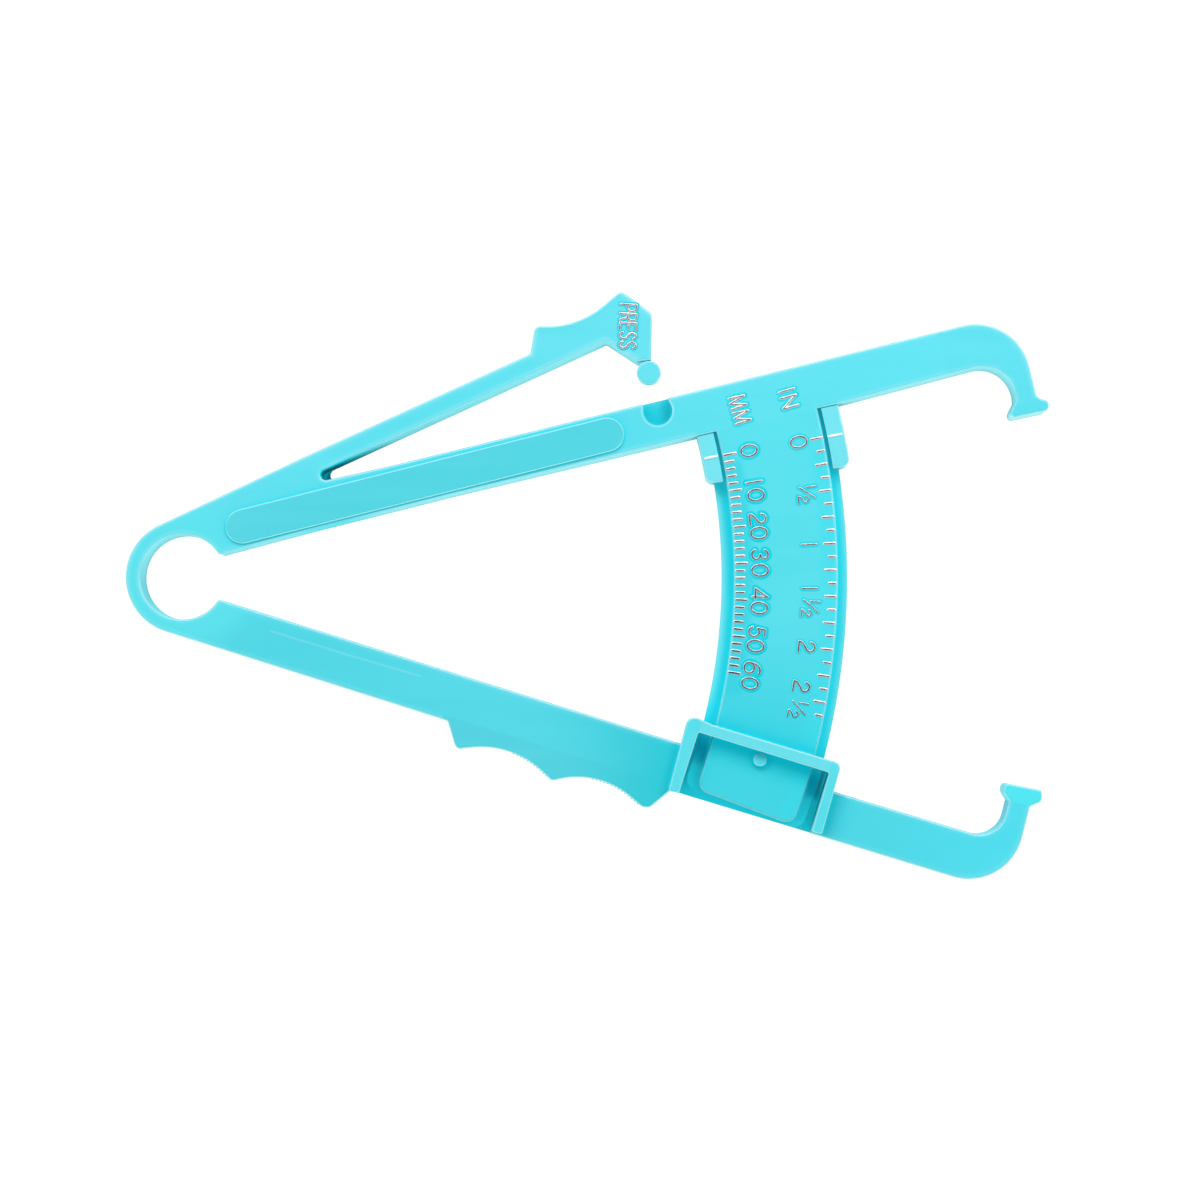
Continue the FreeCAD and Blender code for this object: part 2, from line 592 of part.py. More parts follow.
# -------------------------------------------------------------- pointer slide
slide = sector(slide_r0, slide_r1, 6.0, 16.5, slide_z0, slide_z1)
slide = slide.common(halfspace(UNDER_A[0] + gap_dir.x * slide_top_gap,
                               UNDER_A[1] + gap_dir.y * slide_top_gap, ang_under + 180.0))
bl, br = polar(slide_r0, slide_bottom_l), polar(slide_r1, slide_bottom_r)
slide = one(slide.common(halfspace(bl.x, bl.y, line_ang((bl.x, bl.y), (br.x, br.y)))))
foot_edges = []
for e in slide.Edges:
    bb = e.BoundBox
    if bb.XLength < 1e-6 and bb.YLength < 1e-6:
        for q in (bl, br):
            if math.hypot(bb.XMin - q.x, bb.YMin - q.y) < 0.05:
                foot_edges.append(e)
slide = try_fillet(slide, 1.5, foot_edges, "slide foot")


def slide_outer(e):
    """Skip the top edge, which lies along the arm."""
    m = e.valueAt(0.5 * (e.FirstParameter + e.LastParameter))
    return abs((m.x - UNDER_A[0]) * gap_dir.x + (m.y - UNDER_A[1]) * gap_dir.y - slide_top_gap) < 1e-3


slide = try_fillet(slide, 0.35, outline_edges(slide, slide_z1, slide_outer), "slide front")
channel = sector(flange_r0 - slide_gap, flange_r1 + slide_gap, 4.0, 18.0, plate_z, lip_z)
window = sector(lip_r0, lip_r1, 4.0, 18.0, lip_z - 0.01, slide_z1 + 1)
slide = one(slide.cut(channel.fuse(window)))
plate_zone = Part.makeBox(800, 800, 20.0, V(-400, -400, plate_z - 20.0))
slide_back_plate = one(slide.common(plate_zone))
rails = slide.cut(plate_zone)
rails = sorted(rails.Solids, key=lambda s: s.CenterOfMass.x)
print("slide", slide.isValid(), len(slide.Solids), "rails", len(rails))
slide_left_rail, slide_right_rail = rails[0], rails[-1]


# ------------------------------------------------------------------- markings
def bar_mark(r0, r1, phi, z, w=line_w, h=foil_h):
    b = Part.makeBox(r1 - r0, w, h, V(r0, -0.5 * w, 0))
    b.rotate(V(0, 0, 0), V(0, 0, 1), phi)
    b.translate(V(scale_cx, scale_cy, z))
    return b


mm_ticks = []
for i in range(0, 61, 2):
    length = 2.55 if i == 0 else (2.35 if i % 10 == 0 else 1.85)
    mm_ticks.append(bar_mark(mm_tick_r0, mm_tick_r0 + length, zero_phi + mm_lead - deg_per_mm * i, body_t))
inch_ticks = []
for k in range(0, 22):
    length = 2.32 if k % 2 == 0 else 1.62
    inch_ticks.append(bar_mark(inch_tick_r1 - length, inch_tick_r1,
                               zero_phi + inch_lead - inch_deg * inch * k / 8.0, body_t))

# stroke paths, x along the reading direction and y up, each in a unit box
OVAL = [(0.5 + 0.5 * math.sin(2 * math.pi * k / 20), 0.5 + 0.5 * math.cos(2 * math.pi * k / 20)) for k in range(20)]
BOWL6 = [(0.5 + 0.48 * math.sin(2 * math.pi * k / 16), 0.31 + 0.31 * math.cos(2 * math.pi * k / 16)) for k in range(16)]
# (closed, points)
GLYPHS = {
    "0": [(True, OVAL)],
    "1": [(False, [(0.5, 0.0), (0.5, 1.0)])],
    "2": [(False, [(0.05, 0.73), (0.16, 0.90), (0.42, 1.0), (0.70, 0.95), (0.90, 0.78), (0.88, 0.62), (0.72, 0.50),
                   (0.45, 0.38), (0.20, 0.25), (0.06, 0.12), (0.03, 0.0), (1.0, 0.0)])],
    "h1": [(False, [(0.5, 0.0), (0.5, 1.0)])],
    "h2": [(False, [(0.05, 0.75), (0.25, 0.96), (0.62, 1.0), (0.92, 0.83), (0.86, 0.60), (0.42, 0.34), (0.0, 0.0),
                    (1.0, 0.0)])],
    "3": [(False, [(0.06, 0.80), (0.22, 0.95), (0.50, 1.0), (0.78, 0.94), (0.90, 0.77), (0.80, 0.61), (0.50, 0.53),
                   (0.82, 0.46), (0.97, 0.26), (0.82, 0.07), (0.50, 0.0), (0.20, 0.05), (0.02, 0.21)])],
    "4": [(False, [(0.80, 0.0), (0.80, 1.0)]), (False, [(0.80, 0.97), (0.05, 0.21), (1.0, 0.21)])],
    "5": [(False, [(0.88, 1.0), (0.24, 1.0), (0.15, 0.54), (0.36, 0.63), (0.62, 0.64), (0.87, 0.52), (0.97, 0.31),
                   (0.86, 0.11), (0.55, 0.0), (0.22, 0.05), (0.03, 0.21)])],
    "6": [(True, BOWL6), (False, [(0.04, 0.30), (0.06, 0.56), (0.24, 0.84), (0.52, 0.98), (0.80, 1.0), (0.97, 0.92)])],
    "/": [(False, [(0.0, 0.0), (1.0, 1.0)])],
    "M": [(False, [(0.0, 0.0), (0.08, 1.0), (0.5, 0.0), (0.92, 1.0), (1.0, 0.0)])],
    "I": [(False, [(0.5, 0.0), (0.5, 1.0)])],
    "N": [(False, [(0.0, 0.0), (0.0, 1.0), (1.0, 0.0), (1.0, 1.0)])],
    "P": [(False, [(0.0, 0.0), (0.0, 1.0)]),
          (False, [(0.0, 1.0), (0.55, 1.0), (0.90, 0.91), (1.0, 0.75), (0.90, 0.57), (0.55, 0.48), (0.0, 0.48)])],
    "R": [(False, [(0.0, 0.0), (0.0, 1.0)]),
          (False, [(0.0, 1.0), (0.55, 1.0), (0.90, 0.91), (1.0, 0.75), (0.90, 0.57), (0.55, 0.48), (0.0, 0.48)]),
          (False, [(0.52, 0.48), (1.0, 0.0)])],
    "E": [(False, [(1.0, 1.0), (0.0, 1.0), (0.0, 0.0), (1.0, 0.0)]), (False, [(0.0, 0.52), (0.86, 0.52)])],
    "S": [(False, [(0.95, 0.84), (0.76, 0.96), (0.50, 1.0), (0.22, 0.95), (0.06, 0.77), (0.20, 0.60), (0.50, 0.51),
                   (0.82, 0.42), (0.97, 0.23), (0.80, 0.05), (0.50, 0.0), (0.20, 0.04), (0.02, 0.17)])],
}


def offset_side(pts, hw, closed, sgn):
    """Points of one side of a thick line; sharp outer corners are bevelled."""
    out = []
    n = len(pts)
    for i in range(n):
        if not closed and i in (0, n - 1):
            a, b = (pts[0], pts[1]) if i == 0 else (pts[-2], pts[-1])
            dx, dy = b[0] - a[0], b[1] - a[1]
            l = math.hypot(dx, dy)
            out.append((pts[i][0] - sgn * hw * dy / l, pts[i][1] + sgn * hw * dx / l))
            continue
        p, c, q = pts[i - 1], pts[i], pts[(i + 1) % n]
        d1 = (c[0] - p[0], c[1] - p[1])
        d2 = (q[0] - c[0], q[1] - c[1])
        l1, l2 = math.hypot(*d1), math.hypot(*d2)
        n1 = (-sgn * d1[1] / l1, sgn * d1[0] / l1)
        n2 = (-sgn * d2[1] / l2, sgn * d2[0] / l2)
        turn = (d1[0] * d2[1] - d1[1] * d2[0]) / (l1 * l2)
        cosv = n1[0] * n2[0] + n1[1] * n2[1]
        if turn * sgn < 0 and cosv < 0.35:          # outside of a sharp corner
            out.append((c[0] + hw * n1[0], c[1] + hw * n1[1]))
            mx, my = n1[0] + n2[0], n1[1] + n2[1]
            ml = math.hypot(mx, my)
            if ml > 1e-3:
                out.append((c[0] + hw * mx / ml, c[1] + hw * my / ml))
            out.append((c[0] + hw * n2[0], c[1] + hw * n2[1]))
        else:
            k = hw / max(0.12, 1.0 + cosv)
            out.append((c[0] + k * (n1[0] + n2[0]), c[1] + k * (n1[1] + n2[1])))
    return out


def poly_face(pts, z):
    w = Part.Wire([Part.LineSegment(V(pts[i][0], pts[i][1], z),
                                    V(pts[(i + 1) % len(pts)][0], pts[(i + 1) % len(pts)][1], z)).toShape()
                   for i in range(len(pts))])
    return Part.Face(w)


def glyph(ch, cx, cy, up_deg, h, w, z, lw):
    """Solid of one figure; (cx, cy) is its middle and up_deg its up direction."""
    a = math.radians(up_deg)
    up, rd = (math.cos(a), math.sin(a)), (math.sin(a), -math.cos(a))
    solid = None
    for closed, path in GLYPHS[ch]:
        pts = [(cx + (x - 0.5) * w * rd[0] + (y - 0.5) * h * up[0],
                cy + (x - 0.5) * w * rd[1] + (y - 0.5) * h * up[1]) for x, y in path]
        left = offset_side(pts, 0.5 * lw, closed, 1)
        right = offset_side(pts, 0.5 * lw, closed, -1)
        if closed:
            fa, fb = poly_face(left, z), poly_face(right, z)
            big, small = (fa, fb) if fa.Area > fb.Area else (fb, fa)
            f = big.cut(small)
        else:
            f = poly_face(left + right[::-1], z)
        s = f.extrude(V(0, 0, foil_h))
        solid = s if solid is None else solid.fuse(s)
    return solid


def on_bar(ch, r, phi, h, w):
    p = polar(r, phi)
    return glyph(ch, p.x, p.y, phi, h, w, body_t, line_w)


mm_numerals = [on_bar(ch, r, phi, fig_h, fig_w[ch]) for ch, r, phi in MM_FIGURES]
inch_numerals = []
for ch, r, phi in INCH_FIGURES:
    if ch[0] == "h":                      # the figures of one half
        inch_numerals.append(on_bar(ch, r, phi, half_h, half_w))
    elif ch == "/":
        p = polar(r, phi)
        inch_numerals.append(glyph(ch, p.x, p.y, phi, slash_h, slash_w, body_t, line_w))
    else:
        inch_numerals.append(on_bar(ch, r, phi, fig_h, fig_w[ch]))
unit_marks = [on_bar(ch, r, phi, unit_h, fig_w[ch]) for ch, r, phi in UNIT_FIGURES]
press_lettering = [glyph(ch, x, y, -4.0, press_h, press_w, body_t, line_w) for ch, x, y in PRESS_LETTERS]


def group(shapes):
    sol = []
    for s in shapes:
        s = s.removeSplitter() if hasattr(s, "removeSplitter") else s
        sol += [q for q in s.Solids if q.Volume > 1e-5]
    return Part.makeCompound(sol)


index_marks = group([bar_mark(slide_r0 + 0.42, lip_r0 - 0.06, zero_phi + 0.23, slide_z1, 0.34, foil_h),
                     bar_mark(lip_r1 + 0.06, slide_r1 - 0.42, zero_phi - 0.06, slide_z1, 0.34, foil_h)])

NODES = [
    ("upper_arm", upper_arm), ("upper_bow_shoulder", upper_shoulder), ("upper_jaw", upper_jaw),
    ("upper_jaw_foot", upper_jaw_foot), ("arm_pad", arm_pad), ("scale_bar", scale_bar),
    ("scale_plate", scale_plate), ("stop_pip", stop_pip),
    ("mm_ticks", group(mm_ticks)), ("mm_numerals", group(mm_numerals)),
    ("inch_ticks", group(inch_ticks)), ("inch_numerals", group(inch_numerals)),
    ("unit_marks", group(unit_marks)),
    ("bow_upper_half", bow_upper_half), ("bow_lower_half", bow_lower_half),
    ("lower_bow_shoulder", lower_shoulder), ("lower_arm", lower_arm), ("finger_grip", finger_grip),
    ("grip_ribs", grip_ribs), ("lower_arm_floor", floor), ("bracket_left_leg", left_leg),
    ("bracket_right_leg", right_leg), ("bracket_crossbar", crossbar),
    ("lower_jaw", lower_jaw), ("lower_jaw_foot", lower_jaw_foot),
    ("press_flexure", press_flexure), ("press_arm", press_arm), ("thumb_head", thumb_head),
    ("click_disc", click_disc), ("press_lettering", group(press_lettering)),
    ("slide_back_plate", slide_back_plate), ("slide_left_rail", slide_left_rail),
    ("slide_right_rail", slide_right_rail), ("slide_index_marks", index_marks),
]
for name, shape in NODES:
    save(name, shape)

box = FreeCAD.BoundBox()
for name, shape in NODES:
    box.add(shape.BoundBox)
box.move(shift)
print("box x %.3f %.3f  y %.3f %.3f  z %.3f %.3f" % (box.XMin, box.XMax, box.YMin, box.YMax, box.ZMin, box.ZMax))
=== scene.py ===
import json
import math

import bmesh
import bpy
from mathutils import Matrix, Quaternion, Vector

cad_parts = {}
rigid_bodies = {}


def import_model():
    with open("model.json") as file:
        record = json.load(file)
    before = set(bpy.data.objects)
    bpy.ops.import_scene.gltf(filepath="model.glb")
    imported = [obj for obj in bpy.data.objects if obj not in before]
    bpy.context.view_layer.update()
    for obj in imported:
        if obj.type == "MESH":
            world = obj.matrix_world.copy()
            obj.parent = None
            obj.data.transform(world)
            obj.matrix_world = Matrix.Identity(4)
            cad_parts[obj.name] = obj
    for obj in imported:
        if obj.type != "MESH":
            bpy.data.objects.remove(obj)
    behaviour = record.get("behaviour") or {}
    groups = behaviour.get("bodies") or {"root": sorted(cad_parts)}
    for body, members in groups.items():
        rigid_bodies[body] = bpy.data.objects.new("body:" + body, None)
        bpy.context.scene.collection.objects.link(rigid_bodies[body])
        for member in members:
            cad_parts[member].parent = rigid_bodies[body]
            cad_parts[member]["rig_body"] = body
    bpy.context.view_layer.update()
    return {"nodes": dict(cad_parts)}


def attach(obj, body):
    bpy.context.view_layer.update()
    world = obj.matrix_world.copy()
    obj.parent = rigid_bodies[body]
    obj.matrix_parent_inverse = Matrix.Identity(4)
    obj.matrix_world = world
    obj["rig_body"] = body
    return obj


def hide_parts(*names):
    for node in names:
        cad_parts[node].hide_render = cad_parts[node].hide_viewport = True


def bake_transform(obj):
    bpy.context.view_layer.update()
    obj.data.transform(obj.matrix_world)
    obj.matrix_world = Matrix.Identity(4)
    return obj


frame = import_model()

NODES = frame["nodes"]

# The figures below are millimetres, drawn about the same point as the CAD part:
# (SX, SY) away from the origin of the row frame.
SX, SY = 0.320, 0.264
MM = 0.001


def P(x, y, z=0.0):
    return Vector(((x + SX) * MM, (y + SY) * MM, z * MM))


# ------------------------------------------------------------- node helpers
class Mat:
    """A material and short calls to add nodes to it."""

    def __init__(self, name):
        self.m = bpy.data.materials.new(name)
        self.m.use_nodes = True
        self.t = self.m.node_tree
        self.t.nodes.clear()
        self.out = self.t.nodes.new("ShaderNodeOutputMaterial")
        self.s = self.t.nodes.new("ShaderNodeBsdfPrincipled")
        self.link(self.s.outputs[0], self.out.inputs[0])
        self.co = self.t.nodes.new("ShaderNodeTexCoord").outputs["Object"]

    def link(self, a, b):
        self.t.links.new(a, b)

    def put(self, sock, v):
        if isinstance(v, bpy.types.NodeSocket):
            self.link(v, sock)
        else:
            sock.default_value = v

    def mapped(self, scale=(1, 1, 1), rot=(0, 0, 0), loc=(0, 0, 0)):
        n = self.t.nodes.new("ShaderNodeMapping")
        self.link(self.co, n.inputs["Vector"])
        n.inputs["Scale"].default_value = scale
        n.inputs["Rotation"].default_value = rot
        n.inputs["Location"].default_value = loc
        return n.outputs[0]

    def noise(self, scale, detail=2.0, rough=0.5, vec=None, distort=0.0):
        n = self.t.nodes.new("ShaderNodeTexNoise")
        self.link(vec or self.co, n.inputs["Vector"])
        n.inputs["Scale"].default_value = scale
        n.inputs["Detail"].default_value = detail
        n.inputs["Roughness"].default_value = rough
        n.inputs["Distortion"].default_value = distort
        return n.outputs["Fac"]

    def math(self, op, a, b=0.0, c=None, clamp=False):
        n = self.t.nodes.new("ShaderNodeMath")
        n.operation = op
        n.use_clamp = clamp
        self.put(n.inputs[0], a)
        self.put(n.inputs[1], b)
        if c is not None:
            self.put(n.inputs[2], c)
        return n.outputs[0]

    def remap(self, v, a, b, c, d, smooth=False):
        n = self.t.nodes.new("ShaderNodeMapRange")
        if smooth:
            n.interpolation_type = "SMOOTHSTEP"
        self.put(n.inputs["Value"], v)
        n.inputs["From Min"].default_value = a
        n.inputs["From Max"].default_value = b
        n.inputs["To Min"].default_value = c
        n.inputs["To Max"].default_value = d
        return n.outputs[0]

    def mix(self, fac, a, b):
        n = self.t.nodes.new("ShaderNodeMix")
        n.data_type = "RGBA"
        self.put(n.inputs["Factor"], fac)
        col = [s for s in n.inputs if s.type == "RGBA"]
        self.put(col[0], a)
        self.put(col[1], b)
        return [s for s in n.outputs if s.type == "RGBA"][0]

    def bump(self, height, strength, distance, normal=None):
        n = self.t.nodes.new("ShaderNodeBump")
        n.inputs["Strength"].default_value = strength
        n.inputs["Distance"].default_value = distance
        self.link(height, n.inputs["Height"])
        if normal is not None:
            self.link(normal, n.inputs["Normal"])
        return n.outputs[0]

    def xyz(self, vec=None):
        n = self.t.nodes.new("ShaderNodeSeparateXYZ")
        self.link(vec or self.co, n.inputs[0])
        return n.outputs

    def vec(self, op, a, b=None, scale=None):
        n = self.t.nodes.new("ShaderNodeVectorMath")
        n.operation = op
        self.put(n.inputs[0], a)
        if b is not None:
            self.put(n.inputs[1], b)
        if scale is not None:
            self.put(n.inputs["Scale"], scale)
        return n.outputs["Value"] if op in ("DOT_PRODUCT", "LENGTH", "DISTANCE") else n.outputs["Vector"]

    def open_to_air(self, distance, samples=8):
        """1 where nothing stands within the distance, less in a corner."""
        n = self.t.nodes.new("ShaderNodeAmbientOcclusion")
        n.samples = samples
        n.inputs["Distance"].default_value = distance
        return n.outputs["AO"]

    def from_edges(self, edges):
        """Distance, in metres, from the nearest of the given edges of the
        outline: a polyline of points, or ("ring", x, y, radius)."""
        flat = self.vec("MULTIPLY", self.co, (1.0, 1.0, 0.0))
        best = None
        for e in edges:
            if e[0] == "ring":
                c = P(e[1], e[2])
                d = self.math("ABSOLUTE", self.math("SUBTRACT", self.vec("DISTANCE", flat, tuple(c)), e[3] * MM))
                best = d if best is None else self.math("MINIMUM", best, d)
                continue
            for a, b in zip(e, e[1:]):
                a, b = P(*a), P(*b)
                ba = b - a
                pa = self.vec("SUBTRACT", flat, tuple(a))
                k = self.math("MULTIPLY", self.vec("DOT_PRODUCT", pa, tuple(ba)), 1.0 / ba.length_squared, clamp=True)
                foot = self.vec("SCALE", tuple(ba), scale=k)
                d = self.vec("DISTANCE", pa, foot)
                best = d if best is None else self.math("MINIMUM", best, d)
        return best

    def set(self, **kw):
        for k, v in kw.items():
            self.put(self.s.inputs[k.replace("_", " ")], v)


def rgb(r, g, b):
    return (r, g, b, 1.0)


# ---------------------------------------------------------------- materials
PAINTED_CORNER_SHADE = (0.0005, 0.505, 0.605)       # painted shade: the plastic in a corner and next to other parts
PAINTED_EDGE_GLOW = (0.330, 0.680, 0.720)        # painted glow: the plastic paler along its edges
PAINTED_LOWER_RIM_GLOW = (0.330, 0.860, 0.890)       # painted glow: rounded edges that face away from the light
PAINTED_UPPER_RIM_SHADE = (0.235, 0.410, 0.450)       # painted shade: rounded edges that face the light
RING = (0.076, 0.604, 0.678)        # the thin spring bow
BESIDE_BOW = (0.056, 0.548, 0.640)  # the thick arm next to it
PAINTED_WALL_GLOW = (0.310, 0.850, 0.900)        # painted glow: side walls that face away from the light
PAINTED_WALL_SHADE = (0.110, 0.510, 0.570)    # painted shade: side walls that face the light


def plastic(name, low, high, rough=(0.30, 0.40), flow=0.0, flow_dir=14.0, edges=None, reach=1.15, glow=0.30, rim_glow=0.45,
            fade=None, shift=None, wall=PAINTED_WALL_GLOW, below=0.75, painted_glow=(0.0, 0.020, 0.024), bow=False, beside=False, hollow=(0.0, 0.32, 0.40),
            line=None, inside=False, inner=None, step=None, slot=False, lines=False):
    """Coloured moulded plastic: slow tone drift, faint flow streaks along the
    arm, tiny pigment specks, and the fine grain that the mould leaves. Painted
    shade makes it deeper in corners, and painted glow paler along its edges."""
    m = Mat(name)
    drift = m.noise(16.0, 2.0, 0.5)
    streak = m.noise(60.0, 3.0, 0.6, vec=m.mapped(scale=(0.35, 3.2, 1.0), rot=(0, 0, math.radians(-flow_dir))), distort=0.4)
    speck = m.noise(2600.0, 1.0, 0.5)
    tone = m.math("ADD", m.remap(drift, 0.3, 0.7, 0.0, 0.6), m.remap(streak, 0.35, 0.65, 0.0, 0.4))
    tone = m.math("ADD", tone, m.remap(speck, 0.66, 0.80, 0.0, -0.35), clamp=True)
    col = m.mix(tone, rgb(*low), rgb(*high))
    if bow:                 # the tones round the bow
        at = m.vec("MULTIPLY", m.co, (1.0, 1.0, 0.0))
        above = m.vec("DOT_PRODUCT", m.vec("SUBTRACT", at, tuple(P(-47.48, 19.97))), (-0.319, 0.948, 0.0))
        arm = m.math("MULTIPLY", m.remap(above, -0.005, 0.0005, 1.0, 0.0, smooth=True), m.remap(m.xyz()["X"], -0.045, 0.030, 1.0, 0.0, smooth=True))
        if not fade:
            col = m.mix(arm, col, rgb(*BESIDE_BOW))
    if fade:                # towards the other arm's tone, across the bow
        other = m.mix(tone, rgb(*fade[0]), rgb(*fade[1]))
        col = m.mix(m.remap(m.xyz()["Y"], -0.012, 0.005, 0.0, 1.0, smooth=True), other, col)
    if bow or fade:
        out = m.vec("DISTANCE", m.vec("MULTIPLY", m.co, (1.0, 1.0, 0.0)), tuple(P(-73.61, 1.39)))
        col = m.mix(m.remap(out, 0.0098, 0.0160, 1.0, 0.0, smooth=True), col, rgb(*RING))
    if shift:               # a slow change of tone along the part; on the plate, lower arm and grip it is painted shade towards the bracket
        axis, a, b, tint = shift
        col = m.mix(m.remap(m.xyz()[axis], a * MM, b * MM, 1.0, 0.0, smooth=True), col, rgb(*tint))
    if lines:               # painted shade: darker bands along the two rows of stamped lines
        low = m.remap(m.from_edges([("ring", -82.37, 1.39, 110.3)]), 0.0016, 0.0032, 0.62, 0.0, smooth=True)
        low = m.math("MULTIPLY", low, m.remap(m.xyz()["Y"], -0.0215, -0.0185, 0.0, 1.0, smooth=True))
        low = m.math("MULTIPLY", low, m.remap(m.xyz()["Y"], 0.0215, 0.0245, 1.0, 0.0, smooth=True))
        col = m.mix(low, col, rgb(0.012, 0.500, 0.590))
        high = m.remap(m.from_edges([("ring", -82.37, 1.39, 127.4)]), 0.0014, 0.0030, 0.55, 0.0, smooth=True)
        high = m.math("MULTIPLY", high, m.remap(m.xyz()["Y"], 0.0235, 0.0270, 1.0, 0.0, smooth=True))
        col = m.mix(high, col, rgb(0.030, 0.585, 0.680))
    # painted glow: paler towards the given outline edges
    if edges:
        near = m.remap(m.from_edges(edges), 0.0, reach * MM, glow, 0.0, smooth=True)
        col = m.mix(near, col, rgb(*PAINTED_EDGE_GLOW))
    if line:                # a paler line in the face, in the edge glow's colour: a painted highlight round the pocket on the arm, and along a flow line on the lower arm
        col = m.mix(m.remap(m.from_edges([line[0]]), 0.00005, line[1] * MM, line[2], 0.0, smooth=True), col, rgb(*PAINTED_EDGE_GLOW))
    # painted shade: the colour deepens where other parts stand near
    far = m.remap(m.open_to_air(0.014, 12), 0.64, 0.985, 0.0, 1.0)
    near = m.open_to_air(0.0008, 8)
    close = m.remap(near, 0.45, 0.97, 0.15, 1.0, smooth=True)
    col = m.mix(m.math("MULTIPLY", far, close), rgb(*PAINTED_CORNER_SHADE), col)
    # side walls are coloured by which way they face, with painted glow away from the light and painted shade towards
    # it, and painted shade where they are hollow
    facing = m.xyz(m.t.nodes.new("ShaderNodeTexCoord").outputs["Normal"])
    nz = facing["Z"]
    side = m.remap(nz, 0.15, 0.55, 1.0, 0.0, smooth=True)
    skin = m.mix(m.remap(facing["Y"], -0.80, 0.55, 0.0, 1.0, smooth=True), rgb(*wall), rgb(*PAINTED_WALL_SHADE))
    if inner:               # painted shade: darker on the side that faces the bow
        skin = m.mix(m.remap(facing["X"], -0.25, -0.75, 0.0, 1.0, smooth=True), skin, rgb(*inner))
    free = m.remap(m.open_to_air(0.0050, 6), 0.20, 0.72, 0.0, 1.0)
    skin = m.mix(free, rgb(*hollow), skin)
    col = m.mix(side, col, skin)
    # painted highlight: pale lines on all rounded edges, with painted shade on those that face the light and painted
    # glow on those that face away
    rim = m.math("MULTIPLY", m.remap(nz, 0.06, 0.42, 0.0, 1.0, smooth=True), m.remap(nz, 0.86, 0.985, 1.0, 0.0, smooth=True))
    col = m.mix(m.math("MULTIPLY", rim, rim_glow), col, rgb(*PAINTED_EDGE_GLOW))
    col = m.mix(m.math("MULTIPLY", rim, m.remap(facing["Y"], 0.05, 0.50, 0.0, 0.75, smooth=True)), col, rgb(*PAINTED_UPPER_RIM_SHADE))
    under = m.math("MULTIPLY", rim, m.remap(facing["Y"], -0.05, -0.50, 0.0, below, smooth=True))
    if slot:                # painted shade in the narrow end of the slot behind the lever
        tip = m.remap(m.vec("DISTANCE", m.vec("MULTIPLY", m.co, (1.0, 1.0, 0.0)), tuple(P(-48.38, 19.69))), 0.0040, 0.0155, 1.0, 0.0, smooth=True)
        tip = m.math("MULTIPLY", tip, m.remap(facing["Y"], 0.45, 0.10, 0.0, 1.0))
        under = m.math("MULTIPLY", under, m.math("SUBTRACT", 1.0, tip))
        tip = m.math("MULTIPLY", tip, m.remap(nz, 0.93, 0.78, 0.0, 1.0))
        col = m.mix(tip, col, m.mix(free, rgb(0.0, 0.22, 0.29), rgb(0.0, 0.54, 0.63)))
    col = m.mix(under, col, rgb(*PAINTED_LOWER_RIM_GLOW))
    m.set(Base_Color=col)
    # painted glow: emission in narrow gaps, shaded corners and shaded walls, standing in for light through the plastic
    gap = m.math("MULTIPLY", m.remap(near, 0.05, 0.55, 1.0, 0.0, smooth=True), m.remap(far, 0.0, 0.25, 1.0, 0.0))
    amount = m.math("MULTIPLY", m.math("SUBTRACT", 1.0, far), m.remap(nz, 0.5, 0.9, 0.0, 1.0))
    if beside:              # painted glow outside the bracket and deeper in its window, none in the crossbar's shadow band
        clear = m.vec("DOT_PRODUCT", m.vec("SUBTRACT", m.co, tuple(P(20.45, -26.89))), (0.294, 0.956, 0.0))
        amount = m.math("MULTIPLY", amount, m.math("ADD", m.remap(clear, -0.0010, 0.0020, 0.0, 1.0, smooth=True),
                                                   m.remap(clear, -0.0030, -0.0085, 0.0, 1.9, smooth=True)))
        shade = m.math("MULTIPLY", m.remap(clear, 0.0, -0.0010, 0.0, 1.0), m.remap(clear, -0.0035, -0.0065, 1.0, 0.0, smooth=True))
        shade = m.math("MULTIPLY", shade, m.math("MULTIPLY", m.math("SUBTRACT", 1.0, far), m.remap(nz, 0.5, 0.9, 0.0, 1.0)))
    if inside:              # painted glow lifting the crossbar's shadow, only inside the bracket
        within = m.vec("DOT_PRODUCT", m.vec("SUBTRACT", m.co, tuple(P(20.45, -26.89))), (0.294, 0.956, 0.0))
        near_bar = m.math("MULTIPLY", m.remap(within, 0.0012, 0.0006, 0.0, 1.0), m.remap(within, -0.0006, -0.0033, 1.0, 0.0))
        amount = m.math("MULTIPLY", near_bar, m.remap(nz, 0.5, 0.9, 0.0, 1.0))
        shade = m.math("MULTIPLY", m.remap(within, 0.0012, 0.0006, 0.0, 0.9), m.remap(within, -0.0022, -0.0052, 1.0, 0.0, smooth=True))
        shade = m.math("MULTIPLY", shade, m.remap(nz, 0.5, 0.9, 0.0, 1.0))
    painted_glow = m.mix(amount, rgb(0.0, 0.0, 0.0), rgb(*painted_glow))
    if beside:              # bluer in the shadow of the crossbar
        painted_glow = m.mix(shade, painted_glow, rgb(0.0, 0.030, 0.075))
    # painted glow in the corners of faces that look up
    painted_glow = m.mix(m.math("MULTIPLY", m.math("SUBTRACT", 1.0, close), m.remap(nz, 0.80, 0.95, 0.0, 1.0)), painted_glow, rgb(0.0, 0.24, 0.28))
    # painted glow on rounded edges that face away from the light
    lower_rim_glow = m.math("MULTIPLY", m.remap(nz, -0.03, 0.14, 0.0, 1.0, smooth=True), m.remap(nz, 0.86, 0.985, 1.0, 0.0, smooth=True))
    lower_rim_glow = m.math("MULTIPLY", lower_rim_glow, m.remap(facing["Y"], -0.05, -0.50, 0.0, below, smooth=True))
    painted_glow = m.mix(lower_rim_glow, painted_glow, rgb(0.06, 0.19, 0.20))
